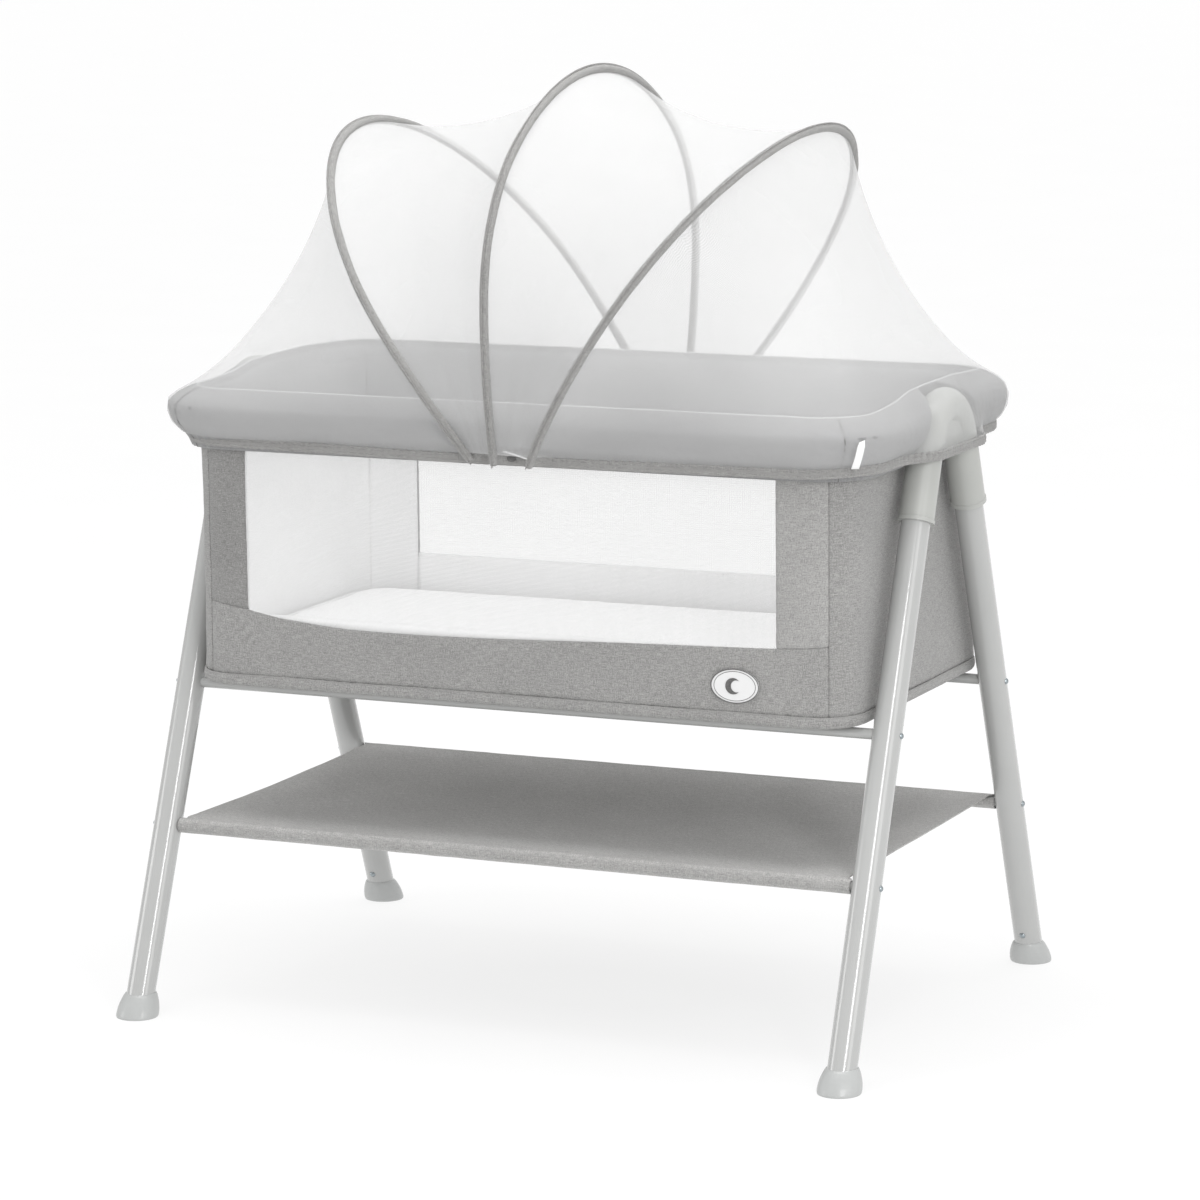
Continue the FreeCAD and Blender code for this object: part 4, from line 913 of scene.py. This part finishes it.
def net_hem():
    """A gathered elastic casing: two soft folds with a stitched line between them."""
    count = 1400
    section = []
    for t in np.linspace(0, 2 * math.pi, 32, endpoint=False):
        out = 0.0020 * math.cos(t)
        up = 0.0066 * math.copysign(abs(math.sin(t)) ** 0.8, math.sin(t))
        section.append((out, up))
    section = np.array(section)
    tangent = np.roll(HEM, -1, axis=0) - np.roll(HEM, 1, axis=0)
    tangent /= np.linalg.norm(tangent, axis=1)[:, None]
    normal = np.stack([tangent[:, 1], -tangent[:, 0]], axis=-1)
    along = np.linspace(0, HEM_LENGTH, count, endpoint=False)
    place = np.concatenate([HEM, np.zeros((count, 1))], axis=1)
    phase = along / 0.0098 * 2 * math.pi + 5 * lumps(place, 12.0, 31)
    gather = np.sin(phase)
    strength = 0.55 + 0.45 * lumps(place, 5.0, 32) + 0.5 * smooth(0.42, 0.50, np.abs(HEM[:, 0]))
    grid = np.zeros((count, 32, 3))
    drift = 1.6 * lumps(place, 10.0, 33)[:, None] + 0.5 * lumps(place, 45.0, 34)[:, None]
    lobes = np.sin(section[None, :, 1] / 0.0042 * 2 * math.pi + drift) * np.sign(section[None, :, 0])
    out = section[None, :, 0] + 0.0007 * lobes + 0.0008 * gather[:, None] * strength[:, None] * (0.6 + 0.4 * np.sign(section[None, :, 1]))
    grid[..., :2] = HEM[:, None] + normal[:, None] * out[..., None]
    top = section[None, :, 1] > 0
    up = section[None, :, 1] + np.where(top, 0.0009, 0.0003) * (np.cos(phase * 0.93 + 1) * strength)[:, None]
    rise = 0.0035 * smooth(0.40, 0.52, np.abs(HEM[:, 0])) - 0.0015 * np.exp(-(HEM[:, 0] / 0.2) ** 2)
    grid[..., 2] = (HEM_Z[0] + HEM_Z[1]) / 2 + up + rise[:, None]
    piece = grid_piece("net_band", grid, binding_cloth, closed=True, around=True)
    dress(piece, "root", "net_binding", "net_hem")


net_hem()


def hoop_line(name, start_height, count):
    """Points along a hoop's centre line, from its front base over the top to its rear base."""
    x, lean, base, widest, waist, top, shoulder = HOOPS[name]
    spread = widest - base
    leg_radius = (spread ** 2 + waist ** 2) / (2 * spread)
    rise = top - waist
    crown = (widest ** 2 + rise ** 2 - 2 * widest * shoulder) / (2 * (rise - shoulder))
    start = math.pi + math.asin((waist - start_height) / leg_radius)
    turn = math.atan2(waist - (top - crown), shoulder - widest)
    arcs = [((leg_radius - widest, waist), leg_radius, start, math.pi), ((shoulder - widest, waist), shoulder, math.pi, turn),
            ((0.0, top - crown), crown, turn, math.pi - turn), ((widest - shoulder, waist), shoulder, math.pi - turn, 0.0),
            ((widest - leg_radius, waist), leg_radius, 0.0, math.pi - start)]
    line = []
    for (cy, ch), radius, first, last in arcs:
        for angle in np.linspace(first, last, 60, endpoint=False):
            line.append((cy + radius * math.cos(angle), ch + radius * math.sin(angle)))
    line.append((-line[0][0], start_height))
    flat = spaced(line, count)
    tilt = math.radians(lean)
    return np.stack([x + flat[:, 1] * math.sin(tilt), flat[:, 0], HINGE_Z + flat[:, 1] * math.cos(tilt)], axis=-1)


def hoop_sleeve(name, body):
    """A cloth sleeve on the wire, creased a little, with the sewn flange that holds the net."""
    count, sides = 520, 16
    line = hoop_line(name, -0.004, count)
    along = arc_lengths(line, 0)
    turn = np.arange(sides) * 2 * math.pi / sides
    place = np.stack([np.repeat(along[:, None], sides, 1) * 0.5, 0.02 * np.cos(turn)[None].repeat(count, 0),
                      0.02 * np.sin(turn)[None].repeat(count, 0)], -1)
    radius = 0.0056 + 0.00045 * lumps(place, 48.0, 41) + 0.00025 * lumps(place, 130.0, 42)
    ends = np.minimum(along, along[-1] - along)
    radius = radius * (1 - 0.12 * np.exp(-(ends / 0.006) ** 2))[:, None]
    sleeve = tube("hoop_cover_" + name, line, radius, binding_cloth, sides=sides)
    dress(sleeve, body, "net_binding", "hoop_sleeve_" + name)
    lean = math.radians(HOOPS[name][1])
    along_axis = np.array((math.cos(lean), 0.0, -math.sin(lean)))
    center = np.array((HOOPS[name][0], 0.0, HINGE_Z)) + np.array((math.sin(lean), 0, math.cos(lean))) * 0.2
    outward = line - center
    outward -= (outward @ along_axis)[:, None] * along_axis
    outward /= np.linalg.norm(outward, axis=1)[:, None]
    wave = 0.0003 * np.sin(along / 0.006 * 2 * math.pi)[:, None]
    rows = [line + outward * reach + along_axis * (shift + wave) for reach, shift in
            ((0.0046, 0.0), (0.0062, 0.0002), (0.0076, 0.0004))]
    flange = grid_piece("hoop_seam_" + name, np.stack(rows, axis=1), binding_cloth, thickness=0.0009)
    dress(flange, body, "net_binding")


for name, body in (("left", "hoop_left"), ("center", "root"), ("right", "hoop_right")):
    hoop_sleeve(name, body)

SECTION_CENTER = np.array((0.008, 0.800))
_outline = spaced(np.array(ROLL), 200) - SECTION_CENTER
_angles = np.arctan2(_outline[:, 1], _outline[:, 0])
_order = np.argsort(_angles)
ROLL_ANGLES, ROLL_REACH = _angles[_order], np.linalg.norm(_outline, axis=1)[_order]


def clear_of_rim(points, gap):
    """Moves points that are inside the roll or a head out to just above its surface."""
    x, y = points[:, 0], points[:, 1]
    qx, qy = np.abs(x) - (RIM[0] - RIM[2]), np.abs(y) - (RIM[1] - RIM[2])
    ox, oy = np.maximum(qx, 0), np.maximum(qy, 0)
    outside = np.hypot(ox, oy)
    offset = outside + np.minimum(np.maximum(qx, qy), 0) - RIM[2]
    nx = np.where(outside > 1e-9, ox / np.maximum(outside, 1e-9), (qx > qy).astype(float)) * np.sign(x)
    ny = np.where(outside > 1e-9, oy / np.maximum(outside, 1e-9), (qx <= qy).astype(float)) * np.sign(y)
    d, h = offset - SECTION_CENTER[0], points[:, 2] - rise(y, points[:, 2]) - SECTION_CENTER[1]
    outer = np.where((d < 0) & (d > -0.07) & (h < 0.034), -d, d)
    reach = np.hypot(outer, h)
    limit = np.interp(np.arctan2(h, outer), ROLL_ANGLES, ROLL_REACH, period=2 * math.pi) + gap
    push = np.where(reach < limit, limit / np.maximum(reach, 1e-6) - 1, 0)
    moved = points.copy()
    moved[:, 0] += nx * (outer * (1 + push) - d)
    moved[:, 1] += ny * (outer * (1 + push) - d)
    moved[:, 2] += h * push
    # The heads: an arched bar on each end.
    side = np.sign(moved[:, 0])
    arm = moved[:, 1:] - (0.0, 0.7547)
    length = np.maximum(np.linalg.norm(arm, axis=1), 1e-6)
    steep = np.abs(arm[:, 0]) > 0.058
    nearest = arm / length[:, None] * 0.0653
    low = moved[:, 2] < 0.784
    nearest[:, 0] = np.where(low & steep, np.sign(arm[:, 0]) * (0.0605 + 0.397 * (0.7801 - moved[:, 2])), nearest[:, 0])
    nearest[:, 1] = np.where(low & steep, arm[:, 1], nearest[:, 1])
    away = np.stack([moved[:, 0] - side * 0.5, arm[:, 0] - nearest[:, 0], arm[:, 1] - nearest[:, 1]], axis=-1)
    far = np.maximum(np.linalg.norm(away, axis=1), 1e-6)
    push = np.where(far < 0.0232 + gap, (0.0232 + gap) / far - 1, 0)[:, None]
    return moved + away * push


def resample(grid, rows, columns):
    """The same surface on a grid with other numbers of rows and columns."""
    r = np.linspace(0, grid.shape[0] - 1, rows)
    c = np.linspace(0, grid.shape[1] - 1, columns)
    r0, c0 = np.minimum(r.astype(int), grid.shape[0] - 2), np.minimum(c.astype(int), grid.shape[1] - 2)
    u, v = (r - r0)[:, None, None], (c - c0)[None, :, None]
    corner = [[grid[np.ix_(r0 + i, c0 + j)] for j in (0, 1)] for i in (0, 1)]
    return (1 - u) * ((1 - v) * corner[0][0] + v * corner[0][1]) + u * ((1 - v) * corner[1][0] + v * corner[1][1])


def tight(first, second, columns, tension, gap, bulge=0.0):
    """A net pulled tight between two lines with as many points, clear of the rim and the heads."""
    rows, grid = len(first), None
    for coarser, rounds in ((4, 500), (2, 400), (1, 260)):
        r, c = (rows - 1) // coarser + 1, (columns - 1) // coarser + 1
        a, b = spaced(first, r), spaced(second, r)
        share = np.linspace(0, 1, c)[None, :, None]
        straight = a[:, None] * (1 - share) + b[:, None] * share
        outward = straight[..., :2] * (1.0, 1.6)
        outward /= np.linalg.norm(outward, axis=-1)[..., None] + 1e-6
        loose = straight.copy()
        loose[..., :2] += bulge * np.sin(share * math.pi) * outward
        grid = loose if grid is None else resample(grid, r, c)
        grid[[0, -1]], grid[:, 0], grid[:, -1] = straight[[0, -1]], a, b
        for _ in range(rounds):
            along = grid[:-2, 1:-1] + grid[2:, 1:-1]
            across = grid[1:-1, :-2] + grid[1:-1, 2:]
            pulled = (tension * along + across) / (2 * (tension + 1))
            grid[1:-1, 1:-1] = clear_of_rim(pulled.reshape(-1, 3), gap).reshape(pulled.shape)
    return grid


def hoop_edge(name, count, start, outwards=-0.0025):
    """Where the net is sewn to a hoop: a line on the inner side of its sleeve."""
    line = hoop_line(name, start, count)
    lean = math.radians(HOOPS[name][1])
    center = np.array((HOOPS[name][0], 0.0, HINGE_Z)) + np.array((math.sin(lean), 0, math.cos(lean))) * 0.2
    outward = line - center
    outward /= np.linalg.norm(outward, axis=1)[:, None]
    return line + outward * outwards


def weights(piece, values):
    """How far each point of a net panel follows its moving hoop."""
    attribute = piece.data.attributes["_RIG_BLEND"]
    attribute.data.foreach_set("value", np.asarray(values, np.float32).ravel())


def net_middle(name):
    rows, columns = 141, 33
    share = np.linspace(0, 1, columns)
    grid = tight(hoop_edge("center", rows, 0.008), hoop_edge(name, rows, 0.008), columns, MIDDLE_TENSION, 0.0012)
    place = np.stack([np.repeat(np.linspace(0, 1, rows)[:, None], columns, 1) * 0.4, share[None].repeat(rows, 0) * 1.6,
                      np.zeros((rows, columns))], -1)
    centre = np.array((0.02, 0, HINGE_Z))
    outward = grid - centre
    outward /= np.linalg.norm(outward, axis=-1)[..., None]
    ripple = 0.0016 * lumps(place, 5.0, 51 + len(name)) * np.sin(share * math.pi)[None]
    grid = grid + outward * ripple[..., None]
    piece = grid_piece("net_fan_" + name, grid, canopy_net, flip=name == "left")
    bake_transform(piece, "root", "hoop_" + name, start=(0, 0, 1.0), end=(0.1, 0, 1.0))
    weights(piece, np.repeat(share[None], rows, axis=0))
    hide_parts("net_middle_" + name)


def net_end(name):
    rows, columns = 221, 45
    sign = -1 if name == "left" else 1
    hinge_x = HOOPS[name][0]
    start = sign * hinge_x + 0.006
    top = hoop_edge(name, rows, 0.010)
    distance = np.linspace(start, HEM_LENGTH / 2 - start, rows) * sign
    hem = hem_at(distance)
    low = np.concatenate([hem, np.full((rows, 1), HEM_Z[1] - 0.002)], axis=1)
    low[:, 2] += 0.0035 * smooth(0.40, 0.52, np.abs(hem[:, 0]))
    share = np.linspace(0, 1, columns)
    grid = tight(low, top, columns, END_TENSION, 0.0016, bulge=0.07)
    u = np.repeat(np.linspace(0, 1, rows)[:, None], columns, 1)
    pleat = np.sin(u * HEM_LENGTH / 2 / 0.019 * 2 * math.pi + 6 * lumps(np.stack([u * 9, u * 0, u * 0], -1), 2.0, 61))
    reach = smooth(0.17, 0.0, share)[None] * smooth(0.0, 0.05, share)[None]
    outward = grid - np.array((sign * 0.2, 0, 0.80))
    outward /= np.linalg.norm(outward, axis=-1)[..., None]
    soft_fold = lumps(np.stack([u * 3.0, share[None] * 0.5 + u * 0, u * 0], -1), 5.0, 62)
    ripple = 0.0010 * pleat * reach + 0.0025 * soft_fold * (smooth(0.15, 0.45, share) * smooth(1.0, 0.8, share))[None]
    grid = grid + outward * ripple[..., None]
    inner = grid[:, 1:-1].reshape(-1, 3)
    grid[:, 1:-1] = clear_of_rim(inner, 0.0010).reshape(rows, columns - 2, 3)
    piece = grid_piece("net_tent_" + name, grid, tent_net, flip=name == "right")
    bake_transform(piece, "root", "hoop_" + name, start=(0, 0, 1.0), end=(0.1, 0, 1.0))
    angle = np.degrees(np.arctan2(grid[..., 2] - HINGE_Z, np.abs(grid[..., 0] - hinge_x) + 1e-6))
    hoop_angle = 90 - abs(HOOPS[name][1])
    contact = 13.0
    follow = np.clip((angle - contact) / (hoop_angle - contact), 0, 1)
    follow[:, -1] = 1.0
    follow = np.where(sign * (grid[..., 0] - hinge_x) < 0.09, np.maximum(follow, share[None] ** 1.5), follow)
    weights(piece, follow)
    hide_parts("net_end_" + name)


MIDDLE_TENSION = 1.1
END_TENSION = 1.55
for name in ("left", "right"):
    net_middle(name)
    net_end(name)


def corner_tab():
    """A folded white tape, sewn into the hem at the front right corner."""
    base = np.array((0.4835, -0.2765, 0.7745))
    across = np.array((math.cos(math.radians(30)), math.sin(math.radians(30)), 0))
    outward = np.array((math.sin(math.radians(30)), -math.cos(math.radians(30)), 0))
    rows = []
    for t in np.linspace(0, 1, 22):
        width = 0.0048 * (1 - 0.25 * smooth(0.8, 1.0, t))
        lean = outward * (0.006 + 0.016 * math.sin(min(t * 1.15, 1) * math.pi / 2))
        rows.append([base + across * (w * width + 0.006 * t) + lean + np.array((0, 0, 0.036 * t + 0.0015 * t * w)) for w in
                     np.linspace(-1, 1, 9)])
    piece = grid_piece("corner_tape", np.array(rows), tape_cloth, thickness=0.0010)
    dress(piece, "root", "net_tape", "corner_tab")


corner_tab()

# ---------------------------------------------------------------- hoop pockets on the hem


def pockets():
    first = None
    for sign, face in ((-1, "front"), (1, "rear")):
        s = np.linspace(-0.052, 0.078, 60)
        z = np.linspace(0.7565, 0.7715, 9)
        S, Z = np.meshgrid(s, z, indexing="ij")
        bulge = 0.0024 * np.exp(-((S + 0.034) / 0.010) ** 2) + 0.0030 * np.exp(-((S - 0.007) / 0.010) ** 2)
        bulge = bulge + 0.0026 * np.exp(-((S - 0.058) / 0.010) ** 2)
        bulge = bulge * smooth(0.7565, 0.764, Z)
        y = -0.2925 - bulge - 0.0004 * lumps(np.stack([S, Z, S * 0], -1), 90.0, 71)
        wave = 0.0010 * np.sin(S / 0.02 * 2 * math.pi)
        grid = np.stack([S, sign * -y * 1.0, Z + wave * smooth(0.764, 0.7715, Z)], -1)
        piece = grid_piece("pocket_" + face, grid, binding_cloth, thickness=0.0008, flip=sign > 0)
        dress(piece, "root", "net_binding")
        first = first or piece
        # A dark disc in each pocket's mouth stands for the shade inside the opening: a painted shadow.
        ring = [(0.0235 + 0.0062 * math.cos(a), sign * 0.2956, 0.7652 + 0.0040 * math.sin(a)) for a in
                np.linspace(0, 2 * math.pi, 28, endpoint=False)]
        opening_shadow = mesh_piece("pocket_opening_shadow_" + face, ring, [list(range(28))[:: -sign]], dark_cloth, [(p[0], p[2]) for p in ring])
        solid = opening_shadow.modifiers.new("thickness", "SOLIDIFY")
        solid.thickness = 0.0006
        dress(opening_shadow, "root", "net_binding")
        flap = [(x, sign * (0.2958 + 0.0012 * math.sin((x - 0.012) / 0.036 * math.pi)),
                 0.7742 - 0.0085 * ((x - 0.012) / 0.036) ** 1.3) for x in np.linspace(0.012, 0.048, 26)]
        dress(tube("pocket_flap_" + face, flap, 0.0012, tape_cloth, sides=8), "root", "net_tape")
    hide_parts("hoop_pockets")


pockets()

# ---------------------------------------------------------------- floor, light, camera

floor_shade = Shade("floor", Roughness=0.8, Specular_IOR_Level=0.1, Emission_Strength=0.845)
floor_noise = floor_shade.noise(floor_shade.coordinates("Object", (1, 1, 1)), 3.0, 3.0)
floor_shade.link(floor_shade.ramp(floor_noise, ((0.3, (0.145,) * 3), (0.7, (0.155,) * 3))), "Base Color")
# Painted shadow: the floor's emission dims towards the middle under the bassinet, a soft shadow painted into its glow.
floor_shadow_place = floor_shade.coordinates("Object", (0.95, 1.45, 1))
floor_shadow_reach = floor_shade.node("VectorMath", {0: floor_shadow_place}, operation="LENGTH").outputs["Value"]
floor_shade.link(floor_shade.ramp(floor_shadow_reach, ((0.15, (0.895,) * 3), (0.55, (0.955,) * 3), (0.95, (1.0,) * 3))),
                 "Emission Color")
floor = mesh_piece("floor", [(-40, -40, 0), (40, -40, 0), (40, 70, 0), (-40, 70, 0)], [(0, 1, 2, 3)], floor_shade.material)

world = bpy.data.worlds.new("studio")
world.use_nodes = True
tree = world.node_tree
direction = tree.nodes.new("ShaderNodeTexCoord").outputs["Generated"]
toward = tree.nodes.new("ShaderNodeVectorMath")
toward.operation = "DOT_PRODUCT"
toward.inputs[1].default_value = (-0.87, 0.49, 0.0)
tree.links.new(direction, toward.inputs[0])
flag = tree.nodes.new("ShaderNodeMapRange")
flag.interpolation_type = "SMOOTHSTEP"
for key, value in {"From Min": 0.75, "From Max": 0.95, "To Min": 0.80, "To Max": 0.5}.items():
    flag.inputs[key].default_value = value
tree.links.new(toward.outputs["Value"], flag.inputs["Value"])
tree.links.new(flag.outputs[0], tree.nodes["Background"].inputs["Strength"])
tree.nodes["Background"].inputs["Color"].default_value = (1, 1, 1, 1)
bpy.context.scene.world = world


def softbox(name, place, aim, width, height, power):
    light = bpy.data.lights.new(name, "AREA")
    light.shape = "RECTANGLE"
    light.size, light.size_y, light.energy = width, height, power
    piece = bpy.data.objects.new(name, light)
    piece.location = place
    piece.rotation_euler = (Vector(aim) - Vector(place)).to_track_quat("-Z", "Y").to_euler()
    bpy.context.collection.objects.link(piece)


softbox("strip", (2.57, -3.06, 1.74), (0, 0, 0.5), 0.7, 1.5, 38)
softbox("overhead", (0.1, -0.3, 4.2), (0, 0, 0.6), 3.4, 2.4, 98)
softbox("right", (3.9, -1.6, 1.5), (0, 0, 0.6), 1.4, 1.8, 17)
softbox("left", (-3.4, -1.7, 0.9), (0, 0, 0.3), 1.2, 1.0, 12)

AZIMUTH, ELEVATION, ROLL_ANGLE = math.radians(24.05), math.radians(9.63), math.radians(-0.45)
back = Vector((math.sin(AZIMUTH) * math.cos(ELEVATION), -math.cos(AZIMUTH) * math.cos(ELEVATION), math.sin(ELEVATION)))
right = (-back).cross(Vector((0, 0, 1))).normalized()
up = right.cross(-back)
side = right * math.cos(ROLL_ANGLE) + up * math.sin(ROLL_ANGLE)
head_up = up * math.cos(ROLL_ANGLE) - right * math.sin(ROLL_ANGLE)
camera_data = bpy.data.cameras.new("camera")
camera_data.sensor_width = 36.0
camera_data.lens = 144.2
camera_data.shift_x, camera_data.shift_y = 0.0083, -0.0055
camera = bpy.data.objects.new("camera", camera_data)
place = Vector((0, 0, 0.543)) + back * 6.442
camera.matrix_world = Matrix((
    (side.x, head_up.x, back.x, place.x), (side.y, head_up.y, back.y, place.y),
    (side.z, head_up.z, back.z, place.z), (0, 0, 0, 1)))
bpy.context.collection.objects.link(camera)
bpy.context.scene.camera = camera
bpy.context.scene.view_settings.view_transform = "Standard"
